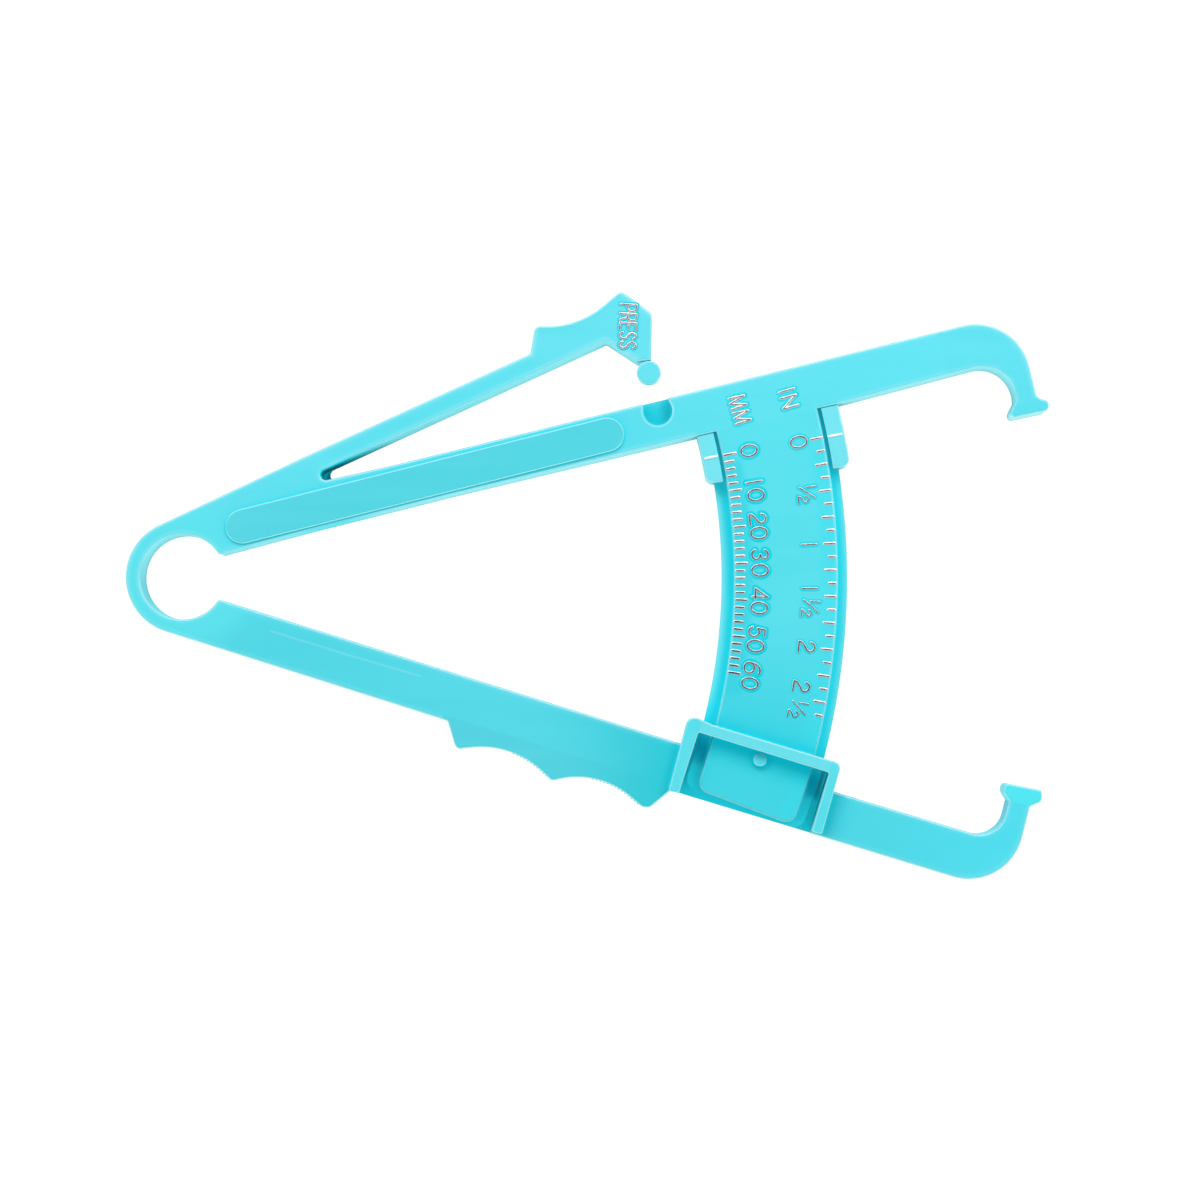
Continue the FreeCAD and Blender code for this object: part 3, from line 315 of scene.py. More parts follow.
    # painted glow on the upper part of side walls that face away from the light
    upper = m.math("MULTIPLY", m.math("MULTIPLY", side, free), m.remap(m.xyz()["Z"], 0.0035, 0.0068, 0.0, 1.0, smooth=True))
    painted_glow = m.mix(m.math("MULTIPLY", upper, m.remap(facing["Y"], -0.3, -0.7, 0.0, 1.0)), painted_glow, rgb(0.03, 0.10, 0.11))
    # painted glow on all side walls
    if step:
        painted_glow = m.mix(side, painted_glow, rgb(*step))
    # painted glow in the slot's end
    if slot:
        painted_glow = m.mix(m.math("MULTIPLY", tip, free), painted_glow, rgb(0.0, 0.26, 0.30))
    m.set(Emission_Color=m.mix(gap, painted_glow, rgb(0.0, 0.14, 0.19)))
    m.s.inputs["Emission Strength"].default_value = 1.0
    satin = m.remap(m.math("ADD", drift, streak), 0.7, 1.3, rough[0], rough[1])
    m.set(Roughness=m.math("MAXIMUM", satin, m.math("MULTIPLY", side, 0.90)))
    # reflection is turned off where painted shade lies: hollows, the slot's end and the crossbar's shadow band
    shut = m.math("MULTIPLY", side, m.math("SUBTRACT", 1.0, free))
    if slot:
        shut = m.math("MAXIMUM", shut, tip)
    if inside:
        shut = m.math("MAXIMUM", shut, shade)
    elif beside:
        shut = m.math("MAXIMUM", shut, m.math("MULTIPLY", shade, 0.85))
    m.set(Specular_IOR_Level=m.remap(shut, 0.0, 1.0, 0.5, 0.0))
    m.s.inputs["IOR"].default_value = 1.49
    grain = m.noise(5200.0, 3.0, 0.6)
    waves = m.noise(210.0, 2.0, 0.5)
    n1 = m.bump(waves, 0.20, 0.00010)
    n2 = m.bump(grain, 0.16, 0.000012, n1)
    if flow:
        line = m.noise(150.0, 2.0, 0.5, vec=m.mapped(scale=(0.10, 4.0, 1.0), rot=(0, 0, math.radians(-flow_dir))), distort=0.3)
        n2 = m.bump(m.remap(line, 0.56, 0.60, 0.0, 1.0, smooth=True), flow, 0.00001, n2)
    m.set(Normal=n2)
    return m.m


def foil(name, core, pale, tarnish, flank_highlight, darker_down_row=None):
    """Hot stamped foil: a brushed grey film with browner patches of wear and a
    crinkle where it was stamped on. Its sloping flanks carry a painted highlight, and the rows are darker towards their
    bottom."""
    m = Mat(name)
    wear = m.noise(900.0, 3.0, 0.6)
    fine = m.noise(6500.0, 2.0, 0.55)
    c = m.mix(m.remap(wear, 0.40, 0.66, 0.0, 1.0, smooth=True), rgb(*core), rgb(*pale))
    c = m.mix(m.remap(fine, 0.58, 0.74, 0.0, 0.8, smooth=True), c, rgb(*tarnish))
    # darker towards the bottom of the rows
    c = m.mix(m.remap(m.xyz()["Y"], -0.024, 0.0, 0.45, 0.0, smooth=True), c, rgb(*tarnish))
    if darker_down_row:                # duller half way down the row
        c = m.mix(m.remap(m.xyz()["Y"], darker_down_row[0] * MM, darker_down_row[1] * MM, darker_down_row[2], 0.0, smooth=True), c, rgb(*darker_down_row[3]))
    # painted highlight along the sloping sides of a stroke
    nz = m.xyz(m.t.nodes.new("ShaderNodeTexCoord").outputs["Normal"])["Z"]
    c = m.mix(m.remap(nz, 0.80, 0.93, 1.0, 0.0, smooth=True), c, rgb(*flank_highlight))
    m.set(Base_Color=c, Roughness=m.remap(fine, 0.3, 0.7, 0.22, 0.42))
    m.s.inputs["Metallic"].default_value = 1.0
    m.set(Normal=m.bump(fine, 0.25, 0.00002))
    return m.m


def paint(name, low, high):
    m = Mat(name)
    wear = m.noise(1500.0, 3.0, 0.6)
    m.set(Base_Color=m.mix(m.remap(wear, 0.35, 0.7, 0.0, 1.0), rgb(*low), rgb(*high)),
          Roughness=m.remap(wear, 0.3, 0.7, 0.30, 0.45), Normal=m.bump(wear, 0.2, 0.00002))
    return m.m


def stroke_halo_shade(name, around, deep):
    """Plastic beside a stamped stroke: the tone of the face it lies on, with
    painted shade deepening towards the stroke and the same slow drift."""
    m = Mat(name)
    n = m.t.nodes.new("ShaderNodeAttribute")
    n.attribute_name = "stroke_nearness"
    drift = m.noise(420.0, 2.0, 0.5)
    c = m.mix(m.math("MULTIPLY", m.remap(n.outputs["Fac"], 0.0, 0.30, 0.0, 1.0, smooth=True), m.remap(drift, 0.35, 0.65, 0.70, 1.0)),
              rgb(*around), rgb(*deep))
    m.set(Base_Color=c, Roughness=m.remap(drift, 0.3, 0.7, 0.32, 0.42), Normal=m.bump(m.noise(5200.0, 3.0, 0.6), 0.16, 0.000012))
    m.set(Specular_IOR_Level=m.remap(n.outputs["Fac"], 0.0, 0.30, 0.5, 0.05))
    m.s.inputs["IOR"].default_value = 1.49
    return m.m


def corner(a, b, c, r, n=4):
    """Points along the round of radius r at the corner b."""
    a, b, c = Vector(a), Vector(b), Vector(c)
    u, w = (a - b).normalized(), (c - b).normalized()
    half = 0.5 * u.angle(w)
    m = b + (u + w).normalized() * (r / math.sin(half))
    p, q = b + u * (r / math.tan(half)) - m, b + w * (r / math.tan(half)) - m
    a0, turn = math.atan2(p.y, p.x), math.atan2(p.x * q.y - p.y * q.x, p.dot(q))
    return [(m.x + r * math.cos(a0 + turn * k / n), m.y + r * math.sin(a0 + turn * k / n)) for k in range(n + 1)]


LEVER_TOP = [(-80.0, 10.1), (-51.06, 23.52), (-10.19, 42.10)]
ARM_UNDER = [(19.65, 26.91), (-23.61, 16.60), (-50.79, 9.80), (-68.0, 5.2)]
HEAD_EDGES = [(-15.0, 35.86), (3.63, 44.38), (9.32, 40.63)], [(-10.19, 42.10), (-9.34, 47.23)], [(6.43, 53.68), (12.01, 49.47)]
FLOW_LINE = [(-57.40, -8.50), (-43.88, -12.69), (-30.20, -16.69)]
JAW_OUT = [(60.0, 45.07)] + corner((60.0, 45.07), (78.32, 49.51), (82.06, 33.86), 10.0) + [(82.06, 33.86)]
JAW_IN = [(46.65, 33.04)] + corner((46.65, 33.04), (78.24, 41.36), (78.21, 33.30), 6.05, 3) + [(78.21, 33.30)]
LOW_TOP = [(-70.0, -1.78), (47.30, -38.38)]
LOW_UNDER = [(-78.0, -8.18), (-25.16, -24.89)]
LOW_JAW_OUT = [(15.29, -37.54)] + corner((15.29, -37.54), (76.48, -56.07), (80.52, -40.33), 9.95) + [(80.52, -40.33)]
LOW_JAW_IN = [(47.30, -38.38)] + corner((47.30, -38.38), (74.79, -46.65), (76.73, -39.26), 4.88, 3) + [(76.73, -39.26)]
HOLE = ("ring", -73.61, 1.39, 7.75)
RIM = [(-73.61 + 10.45 * math.cos(math.radians(a)), 1.39 + 10.45 * math.sin(math.radians(a))) for a in range(115, 254, 11)]
SLOT = [(5.0, 45.0)] + corner((5.0, 45.0), (-56.04, 17.11), (-35.23, 21.76), 0.94, 3) + [(-35.23, 21.76), (66.0, 46.52)]

UP_LOW, UP_HIGH = (0.070, 0.568, 0.655), (0.090, 0.595, 0.689)
DN_LOW, DN_HIGH = (0.054, 0.535, 0.622), (0.072, 0.563, 0.656)
ARM = plastic("arm_satin", UP_LOW, UP_HIGH, flow=0.15, edges=[LEVER_TOP, SLOT, ARM_UNDER, JAW_IN[:2], HOLE], bow=True,
            line=(("ring", 13.05, 31.62, 2.80), 0.42, 0.50), slot=True)
BOW = plastic("bow_satin", UP_LOW, UP_HIGH, edges=[HOLE, RIM], glow=0.38, fade=(DN_LOW, DN_HIGH), bow=True)
SHOULDER = plastic("shoulder_satin", UP_LOW, UP_HIGH, flow=0.15, edges=[HOLE, LEVER_TOP, ARM_UNDER, RIM], bow=True, slot=True)
JAW = plastic("jaw_satin", (0.068, 0.555, 0.645), (0.086, 0.582, 0.680), edges=[JAW_OUT, JAW_IN], glow=0.26)
UPPER_FOOT = plastic("upper_foot_satin", (0.068, 0.555, 0.645), (0.086, 0.582, 0.680), wall=(0.430, 0.860, 0.880))
PAD = plastic("pad_satin", (0.054, 0.508, 0.585), (0.072, 0.535, 0.618), flow=0.15, rim_glow=0.6, below=0.9, hollow=(0.080, 0.600, 0.680), step=(0.0, 0.15, 0.17))
# painted glow along both flange edges and in the bracket's window
BAR = plastic("bar_satin", (0.066, 0.600, 0.690), (0.088, 0.630, 0.725),
              edges=[("ring", -82.37, 1.39, 107.10), ("ring", -82.37, 1.39, 130.0)], reach=1.9, glow=0.72, painted_glow=(0.0, 0.165, 0.185), beside=True)
# painted shade: the plate darkens towards the bracket and along its rows of lines; painted glow lifts the crossbar's
# shadow
PLATE = plastic("plate_satin", (0.060, 0.565, 0.645), (0.080, 0.592, 0.680),
                edges=[("ring", -82.37, 1.39, 109.33), ("ring", -82.37, 1.39, 128.20)], reach=0.6, glow=0.28, rim_glow=0.25, below=0.15, hollow=(0.0, 0.450, 0.540),
                shift=("Y", -26.0, -2.0, (0.036, 0.540, 0.630)), painted_glow=(0.0, 0.15, 0.19), inside=True, lines=True)
# painted shade: the lower arm and grip darken towards the bracket
BRACKET_SHADE = ("X", 17.0, -10.0, (0.016, 0.475, 0.550))
LOWER = plastic("lower_satin", UP_LOW, UP_HIGH, flow=0.25, flow_dir=-15.5, edges=[LOW_TOP, LOW_UNDER, HOLE], glow=0.24,
                fade=(DN_LOW, DN_HIGH), shift=BRACKET_SHADE, line=(FLOW_LINE, 0.30, 0.22))
LOW_SHOULDER = plastic("low_shoulder_satin", UP_LOW, UP_HIGH, edges=[HOLE, LOW_UNDER, LOW_TOP, RIM], glow=0.26, fade=(DN_LOW, DN_HIGH))
LOW_JAW = plastic("low_jaw_satin", (0.044, 0.568, 0.672), (0.060, 0.592, 0.700), edges=[LOW_JAW_OUT, LOW_JAW_IN], glow=0.20,
                  shift=("X", 48.0, 76.0, (0.055, 0.552, 0.640)), inner=(0.110, 0.480, 0.570))
LOW_FOOT = plastic("lower_foot_satin", (0.044, 0.620, 0.700), (0.060, 0.645, 0.730))
GRIP = plastic("grip_satin", (0.052, 0.505, 0.590), (0.070, 0.532, 0.622), flow_dir=-15.5, shift=BRACKET_SHADE)
BRACKET = plastic("bracket_satin", (0.088, 0.580, 0.650), (0.114, 0.606, 0.685), rim_glow=0.8)
ARM_FLOOR = plastic("arm_floor_satin", (0.052, 0.505, 0.590), (0.070, 0.532, 0.622), painted_glow=(0.0, 0.24, 0.28), beside=True)
LEG = plastic("leg_satin", (0.058, 0.575, 0.645), (0.080, 0.602, 0.678), rim_glow=0.6)
LEVER = plastic("lever_satin", UP_LOW, UP_HIGH, flow_dir=24.5, edges=[LEVER_TOP, SLOT], glow=0.34, reach=1.3, slot=True)
HEAD = plastic("head_satin", (0.082, 0.568, 0.650), (0.106, 0.596, 0.685), flow_dir=24.5, edges=HEAD_EDGES, glow=0.40, reach=1.3)
SLIDE = plastic("slide_satin", (0.116, 0.590, 0.665), (0.148, 0.620, 0.704), rim_glow=0.7, hollow=(0.020, 0.480, 0.560))
FOIL = foil("stamped_foil", (0.46, 0.37, 0.39), (0.78, 0.69, 0.71), (0.22, 0.15, 0.16), (0.92, 0.89, 0.90))
DULL = foil("stamped_foil_dull", (0.40, 0.32, 0.34), (0.70, 0.61, 0.63), (0.20, 0.14, 0.15), (0.88, 0.84, 0.85), (-8.0, 6.0, 0.78, (0.030, 0.085, 0.105)))
INK = foil("stamped_foil_dark", (0.20, 0.155, 0.17), (0.44, 0.37, 0.39), (0.10, 0.07, 0.08), (0.84, 0.80, 0.82))
NEAR_FIGURES = stroke_halo_shade("beside_figures", (0.066, 0.572, 0.656), (0.000, 0.505, 0.600))
NEAR_INCHES = stroke_halo_shade("beside_inches", (0.066, 0.572, 0.656), (0.012, 0.540, 0.635))
NEAR_UNITS = stroke_halo_shade("beside_units", (0.074, 0.572, 0.660), (0.012, 0.540, 0.635))
NEAR_PRESS = stroke_halo_shade("beside_press", (0.092, 0.580, 0.665), (0.000, 0.450, 0.565))
WHITE = paint("pointer_white", (0.80, 0.84, 0.85), (0.92, 0.94, 0.94))

LOOKS = {
    "upper_arm": ARM, "bow_upper": BOW, "bow_lower": BOW, "lower_arm": LOWER,
    "press_lever": LEVER, "slide": SLIDE,
}
NODE_LOOKS = {
    "upper_arm": ARM, "upper_bow_shoulder": SHOULDER, "upper_jaw": JAW, "arm_pad": PAD, "scale_bar": BAR,
    "scale_plate": PLATE, "stop_pip": LEG, "lower_bow_shoulder": LOW_SHOULDER, "finger_grip": GRIP, "grip_ribs": GRIP,
    "lower_arm_floor": ARM_FLOOR, "bracket_left_leg": LEG, "bracket_right_leg": LEG, "bracket_crossbar": BRACKET,
    "lower_jaw": LOW_JAW, "lower_jaw_foot": LOW_FOOT, "upper_jaw_foot": UPPER_FOOT, "thumb_head": HEAD, "click_disc": HEAD,
}


def paint_node(o, mat):
    if not o.material_slots:
        o.data.materials.append(mat)
    for s in o.material_slots:
        s.material = mat


for name, o in NODES.items():
    paint_node(o, NODE_LOOKS.get(name, LOOKS[o["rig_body"]]))


# ------------------------------------------------------------- mesh helpers
def link_mesh(name, verts, faces, mat, smooth_deg=38.0, weighted=True):
    me = bpy.data.meshes.new(name)
    me.from_pydata([tuple(v) for v in verts], [], faces)
    me.validate()
    bm = bmesh.new()
    bm.from_mesh(me)
    bmesh.ops.recalc_face_normals(bm, faces=bm.faces)
    bm.to_mesh(me)
    bm.free()
    return finish_mesh(name, me, mat, smooth_deg, weighted)


def finish_mesh(name, me, mat, smooth_deg=38.0, weighted=True):
    me.shade_smooth()
    me.set_sharp_from_angle(angle=math.radians(smooth_deg))
    me.materials.clear()
    me.materials.append(mat)
    o = bpy.data.objects.new(name, me)
    bpy.context.scene.collection.objects.link(o)
    if weighted:
        w = o.modifiers.new("flat_normals", "WEIGHTED_NORMAL")
        w.keep_sharp = True
        w.weight = 80
    return o


# ------------------------------------------------------------ spring bow
BOW_AT = (-73.61, 1.39)
BOW_RO, BOW_RI, BODY_T = 10.45, 7.75, 8.0
FRONT_R, BACK_R = 0.40, 0.25


def bow_profile():
    """Closed section of the bow strip as (radius, height), with its four
    rounded edges."""
    pts = []

    def arc(cr, cz, r, a0, a1, n=6):
        for k in range(n + 1):
            a = math.radians(a0 + (a1 - a0) * k / n)
            pts.append((cr + r * math.cos(a), cz + r * math.sin(a)))

    arc(BOW_RO - BACK_R, BACK_R, BACK_R, -90, 0)
    arc(BOW_RO - FRONT_R, BODY_T - FRONT_R, FRONT_R, 0, 90)
    arc(BOW_RI + FRONT_R, BODY_T - FRONT_R, FRONT_R, 90, 180)
    arc(BOW_RI + BACK_R, BACK_R, BACK_R, 180, 270)
    return pts


def bow_arc(name, a0, a1, n, mat):
    prof = bow_profile()
    verts, faces = [], []
    for i in range(n + 1):
        a = math.radians(a0 + (a1 - a0) * i / n)
        for r, z in prof:
            verts.append(P(BOW_AT[0] + r * math.cos(a), BOW_AT[1] + r * math.sin(a), z))
    k = len(prof)
    for i in range(n):
        for j in range(k):
            faces.append((i * k + j, i * k + (j + 1) % k, (i + 1) * k + (j + 1) % k, (i + 1) * k + j))
    faces.append(tuple(range(k)))
    faces.append(tuple(n * k + j for j in reversed(range(k))))
    return link_mesh(name, verts, faces, mat)


bow_a = bow_arc("bow_upper_turn", 146.0, 164.5, 16, BOW)
bow_b = bow_arc("bow_back_turn", 164.5, 195.5, 26, BOW)
bow_c = bow_arc("bow_lower_turn", 195.5, 214.0, 16, BOW)
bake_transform(bow_a)
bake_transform(bow_b)
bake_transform(bow_c)
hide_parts("bow_upper_half")
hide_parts("bow_upper_half", "bow_lower_half")
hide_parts("bow_lower_half")

# --------------------------------------------------------- lever flexure
LEVER_ROOT, LEVER_FREE, LEVER_DIR = (-47.9, 24.6), (-32.0, 31.9), 24.5


def flexure():
    """The thin root of the press lever, cut into many short bays along its
    length."""
    bm = bmesh.new()
    bm.from_mesh(NODES["press_flexure"].data)
    bmesh.ops.remove_doubles(bm, verts=bm.verts, dist=1e-6)
    bmesh.ops.dissolve_limit(bm, angle_limit=math.radians(0.05), verts=bm.verts, edges=bm.edges)
    d = Vector((math.cos(math.radians(LEVER_DIR)), math.sin(math.radians(LEVER_DIR)), 0))
    length = (P(*LEVER_FREE) - P(*LEVER_ROOT)).dot(d)
    n = 32
    for k in range(1, n):
        co = P(*LEVER_ROOT) + d * (length * k / n)
        bmesh.ops.bisect_plane(bm, geom=bm.verts[:] + bm.edges[:] + bm.faces[:], dist=1e-7, plane_co=co, plane_no=d)
    me = bpy.data.meshes.new("lever_flexure")
    bm.to_mesh(me)
    bm.free()
    o = finish_mesh("lever_flexure", me, LEVER)
    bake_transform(o)
    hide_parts("press_flexure")
    return o


flexure()

# -------------------------------------------------------- stamped markings
CX, CY = -82.37, 1.39
ZERO_PHI, DEG_PER_MM, INCH = 11.45, 0.3452, 25.4
FOIL_H = 0.14
STROKE = 0.58           # width of a stamped stroke


def polar(r, phi):
    a = math.radians(phi)
    return CX + r * math.cos(a), CY + r * math.sin(a)


def round_out(path, closed):
    """Splits a path at its sharp corners and rounds each run with a
    Catmull-Rom curve."""
    n = len(path)

    def turn(i):
        a, b, c = Vector(path[i - 1]), Vector(path[i]), Vector(path[(i + 1) % n])
        u, w = b - a, c - b
        return math.degrees(u.angle(w)) if u.length > 1e-6 and w.length > 1e-6 else 0.0

    if closed:
        runs = [(path, True)]
    else:
        runs, cur = [], [path[0]]
        for i in range(1, n):
            cur.append(path[i])
            if i < n - 1 and turn(i) > 58.0:
                runs.append((cur, False))
                cur = [path[i]]
        runs.append((cur, False))
    out = []
    for run, loop in runs:
        m = len(run)
        if m == 2:
            out.append((run, False))
            continue
        pts = []
        last = m if loop else m - 1
        for i in range(last):
            p1, p2 = Vector(run[i]), Vector(run[(i + 1) % m])
            p0 = Vector(run[(i - 1) % m]) if (loop or i > 0) else 2 * p1 - p2
            p3 = Vector(run[(i + 2) % m]) if (loop or i + 2 < m) else 2 * p2 - p1
            steps = 4
            for k in range(steps):
                t = k / steps
                pts.append(tuple(0.5 * ((2 * p1) + (p2 - p0) * t + (2 * p0 - 5 * p1 + 4 * p2 - p3) * t * t
                                        + (3 * p1 - p0 - 3 * p2 + p3) * t ** 3)))
        if not loop:
            pts.append(run[-1])
        out.append((pts, loop))
    return out


def hump(u):
    """Height of a stamped stroke across its half width, 1 in the middle: a
    nearly flat crown and sloping flanks."""
    u = min(1.0, abs(u))
    return 1.0 - 0.08 * (u / 0.52) ** 2 if u < 0.52 else 0.92 * (1.0 - (u - 0.52) / 0.48)


STROKE_NEARNESS = []              # for each vertex of a border film: 1 at the stroke, 0 outside; it sets the painted shade


def stroke(verts, faces, path, closed, z, w=STROKE, h=FOIL_H, sink=0.03):
    """Adds one rounded ridge that follows the path, with round ends."""
    hw = 0.5 * w
    n = len(path)
    us = [-1.0, -0.84, -0.68, -0.54, -0.3, 0.3, 0.54, 0.68, 0.84, 1.0]
    rings = []          # (centre, side direction, along offset, width factor)
    for i in range(n):
        if closed:
            a, b = Vector(path[i - 1]), Vector(path[(i + 1) % n])
        else:
            a, b = Vector(path[max(0, i - 1)]), Vector(path[min(n - 1, i + 1)])
        t = (b - a).normalized()
        rings.append((Vector(path[i]), t, 0.0))
    if not closed:
        ends = [math.radians(q) for q in (28, 52, 72)]
        c0, t0, _ = rings[0]
        c1, t1, _ = rings[-1]
        rings = [(c0, t0, -hw * math.sin(a)) for a in reversed(ends)] + rings + [(c1, t1, hw * math.sin(a)) for a in ends]
    base = len(verts)
    k = len(us) + 2
    for c, t, d in rings:
        side = Vector((-t.y, t.x))
        half = math.sqrt(max(0.0, hw * hw - d * d))
        for u in us:
            x = u * half
            q = c + t * d + side * x
            rho = math.sqrt(d * d + x * x) / hw
            verts.append(P(q.x, q.y, z + h * hump(rho * 0.9999)))
            STROKE_NEARNESS.append(1.0 - min(1.0, rho))
        for u in (1, -1):
            q = c + t * d + side * (u * half)
            verts.append(P(q.x, q.y, z - sink))
            STROKE_NEARNESS.append(0.0)
    m = len(rings)
    for i in range(m if closed else m - 1):
        j = (i + 1) % m
        for s in range(k):
            s2 = (s + 1) % k
            faces.append((base + i * k + s, base + i * k + s2, base + j * k + s2, base + j * k + s))
    if not closed:
        faces.append(tuple(base + s for s in range(k)))
        faces.append(tuple(base + (m - 1) * k + s for s in reversed(range(k))))


def turned(n, rx, ry, cx=0.5, cy=0.5):
    return [(cx + rx * math.sin(2 * math.pi * k / n), cy + ry * math.cos(2 * math.pi * k / n)) for k in range(n)]


GLYPHS = {
    "0": [(True, turned(20, 0.5, 0.5))],
    "1": [(False, [(0.5, 0.0), (0.5, 1.0)])],
    "2": [(False, [(0.05, 0.73), (0.16, 0.90), (0.42, 1.0), (0.70, 0.95), (0.90, 0.78), (0.88, 0.62), (0.72, 0.50),
                   (0.45, 0.38), (0.20, 0.25), (0.06, 0.12), (0.03, 0.0), (1.0, 0.0)])],
    "3": [(False, [(0.06, 0.80), (0.22, 0.95), (0.50, 1.0), (0.78, 0.94), (0.90, 0.77), (0.80, 0.61), (0.50, 0.53),
                   (0.82, 0.46), (0.97, 0.26), (0.82, 0.07), (0.50, 0.0), (0.20, 0.05), (0.02, 0.21)])],
    "4": [(False, [(0.80, 0.0), (0.80, 1.0)]), (False, [(0.80, 0.97), (0.05, 0.21), (1.0, 0.21)])],
    "5": [(False, [(0.88, 1.0), (0.24, 1.0), (0.15, 0.54), (0.36, 0.63), (0.62, 0.64), (0.87, 0.52), (0.97, 0.31),
                   (0.86, 0.11), (0.55, 0.0), (0.22, 0.05), (0.03, 0.21)])],
    "6": [(True, turned(16, 0.48, 0.31, 0.5, 0.31)),
          (False, [(0.04, 0.30), (0.06, 0.56), (0.24, 0.84), (0.52, 0.98), (0.80, 1.0), (0.97, 0.92)])],
    "/": [(False, [(0.0, 0.0), (1.0, 1.0)])],
    "M": [(False, [(0.0, 0.0), (0.08, 1.0), (0.5, 0.0), (0.92, 1.0), (1.0, 0.0)])],
    "I": [(False, [(0.5, 0.0), (0.5, 1.0)])],
    "N": [(False, [(0.0, 0.0), (0.0, 1.0), (1.0, 0.0), (1.0, 1.0)])],
    "P": [(False, [(0.0, 0.0), (0.0, 1.0)]),
          (False, [(0.0, 1.0), (0.55, 1.0), (0.90, 0.91), (1.0, 0.75), (0.90, 0.57), (0.55, 0.48), (0.0, 0.48)])],
    "R": [(False, [(0.0, 0.0), (0.0, 1.0)]),
          (False, [(0.0, 1.0), (0.55, 1.0), (0.90, 0.91), (1.0, 0.75), (0.90, 0.57), (0.55, 0.48), (0.0, 0.48)]),
          (False, [(0.52, 0.48), (1.0, 0.0)])],
    "E": [(False, [(1.0, 1.0), (0.0, 1.0), (0.0, 0.0), (1.0, 0.0)]), (False, [(0.0, 0.52), (0.86, 0.52)])],
    "S": [(False, [(0.95, 0.84), (0.76, 0.96), (0.50, 1.0), (0.22, 0.95), (0.06, 0.77), (0.20, 0.60), (0.50, 0.51),
                   (0.82, 0.42), (0.97, 0.23), (0.80, 0.05), (0.50, 0.0), (0.20, 0.04), (0.02, 0.17)])],
}
FIG_H = 2.92
FIG_W = {"0": 2.02, "1": 1.0, "2": 1.93, "3": 1.80, "4": 2.00, "5": 1.80, "6": 2.02, "M": 2.03, "I": 1.0, "N": 1.92}
HALF_H, HALF_W, SLASH_H, SLASH_W, UNIT_H = 1.78, 1.22, 2.65, 2.10, 2.86
PRESS_H, PRESS_W = 2.98, 1.20
MM_FIGURES = [
    ("0", 114.38, 11.58), ("1", 114.26, 8.67), ("0", 114.29, 7.46), ("2", 114.12, 5.27), ("0", 114.13, 3.98),
    ("3", 114.10, 2.01), ("0", 114.05, 0.57), ("4", 114.08, -1.55), ("0", 114.02, -2.87),
    ("5", 113.90, -5.06), ("0", 113.90, -6.36), ("6", 113.83, -8.40), ("0", 113.84, -9.83)]
INCH_FIGURES = [
    ("0", 123.55, 11.44), ("h1", 124.35, 7.57), ("/", 123.50, 7.13), ("h2", 122.74, 6.55),
    ("1", 123.10, 2.71), ("1", 123.05, -1.01), ("h1", 124.10, -2.11), ("/", 123.40, -2.49), ("h2", 122.62, -3.10),
    ("2", 123.18, -5.97), ("2", 123.18, -9.36), ("h1", 124.12, -10.71), ("/", 123.40, -11.16), ("h2", 122.54, -11.74)]
UNIT_FIGURES = [("M", 114.50, 16.13), ("M", 114.52, 14.72), ("I", 123.62, 15.92), ("N", 123.62, 14.93)]
PRESS_LETTERS = [("P", 7.70, 50.48), ("R", 7.70, 48.78), ("E", 7.66, 47.07), ("S", 7.62, 45.36), ("S", 7.57, 43.64)]


FIGURE, HALF, UNIT, PRESSED = 0.48, 0.39, 0.50, 0.47        # stroke widths
BORDER = 0.0            # extra width while the pressed borders are drawn


def glyph(verts, faces, ch, cx, cy, up_deg, h, w, z, width=STROKE):
    a = math.radians(up_deg)
    up, rd = (math.cos(a), math.sin(a)), (math.sin(a), -math.cos(a))
    for closed, path in GLYPHS[ch]:
        pts = [(cx + (x - 0.5) * w * rd[0] + (y - 0.5) * h * up[0],
                cy + (x - 0.5) * w * rd[1] + (y - 0.5) * h * up[1]) for x, y in path]
        for run, loop in round_out(pts, closed):
            if BORDER:
                stroke(verts, faces, run, loop, z, width + BORDER, 0.012)
            else:
                stroke(verts, faces, run, loop, z, width)


def radial(verts, faces, r0, r1, phi, z, w=STROKE, h=FOIL_H, sink=0.03):
    hw = 0.5 * w
    stroke(verts, faces, [polar(r0 + hw, phi), polar(0.5 * (r0 + r1), phi), polar(r1 - hw, phi)], False, z, w, h, sink)


def marking(name, node, body, mat, fill):
    verts, faces = [], []
    fill(verts, faces)
    o = link_mesh(name, verts, faces, mat, smooth_deg=70.0, weighted=False)
    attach(o, body)
    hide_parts(node)
    return o


def border(name, body, mat, fill, extra):
    """A thin film over the plastic right beside a stroke, carrying painted shade."""
    global BORDER
    verts, faces = [], []
    STROKE_NEARNESS.clear()
    BORDER = extra
    fill(verts, faces)
    BORDER = 0.0
    o = link_mesh(name, verts, faces, mat, smooth_deg=70.0, weighted=False)
    stroke_nearness = o.data.attributes.new("stroke_nearness", "FLOAT", "POINT")
    stroke_nearness.data.foreach_set("value", STROKE_NEARNESS)
    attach(o, body)
    return o


def fill_mm_ticks(v, f):
    for i in range(0, 61, 2):
        length = 2.55 if i == 0 else (2.35 if i % 10 == 0 else 1.85)
        radial(v, f, 109.50, 109.60 + length, ZERO_PHI + 0.16 - DEG_PER_MM * i, BODY_T)


def fill_inch_ticks(v, f):
    for k in range(0, 22):
        length = 2.32 if k % 2 == 0 else 1.62
        radial(v, f, 127.95 - length, 128.06, ZERO_PHI - 0.015 - 0.3431 * INCH * k / 8.0, BODY_T, sink=0.12)


def fill_mm_figures(v, f):
    for ch, r, phi in MM_FIGURES:
        glyph(v, f, ch, *polar(r, phi), phi, FIG_H, FIG_W[ch], BODY_T, FIGURE)


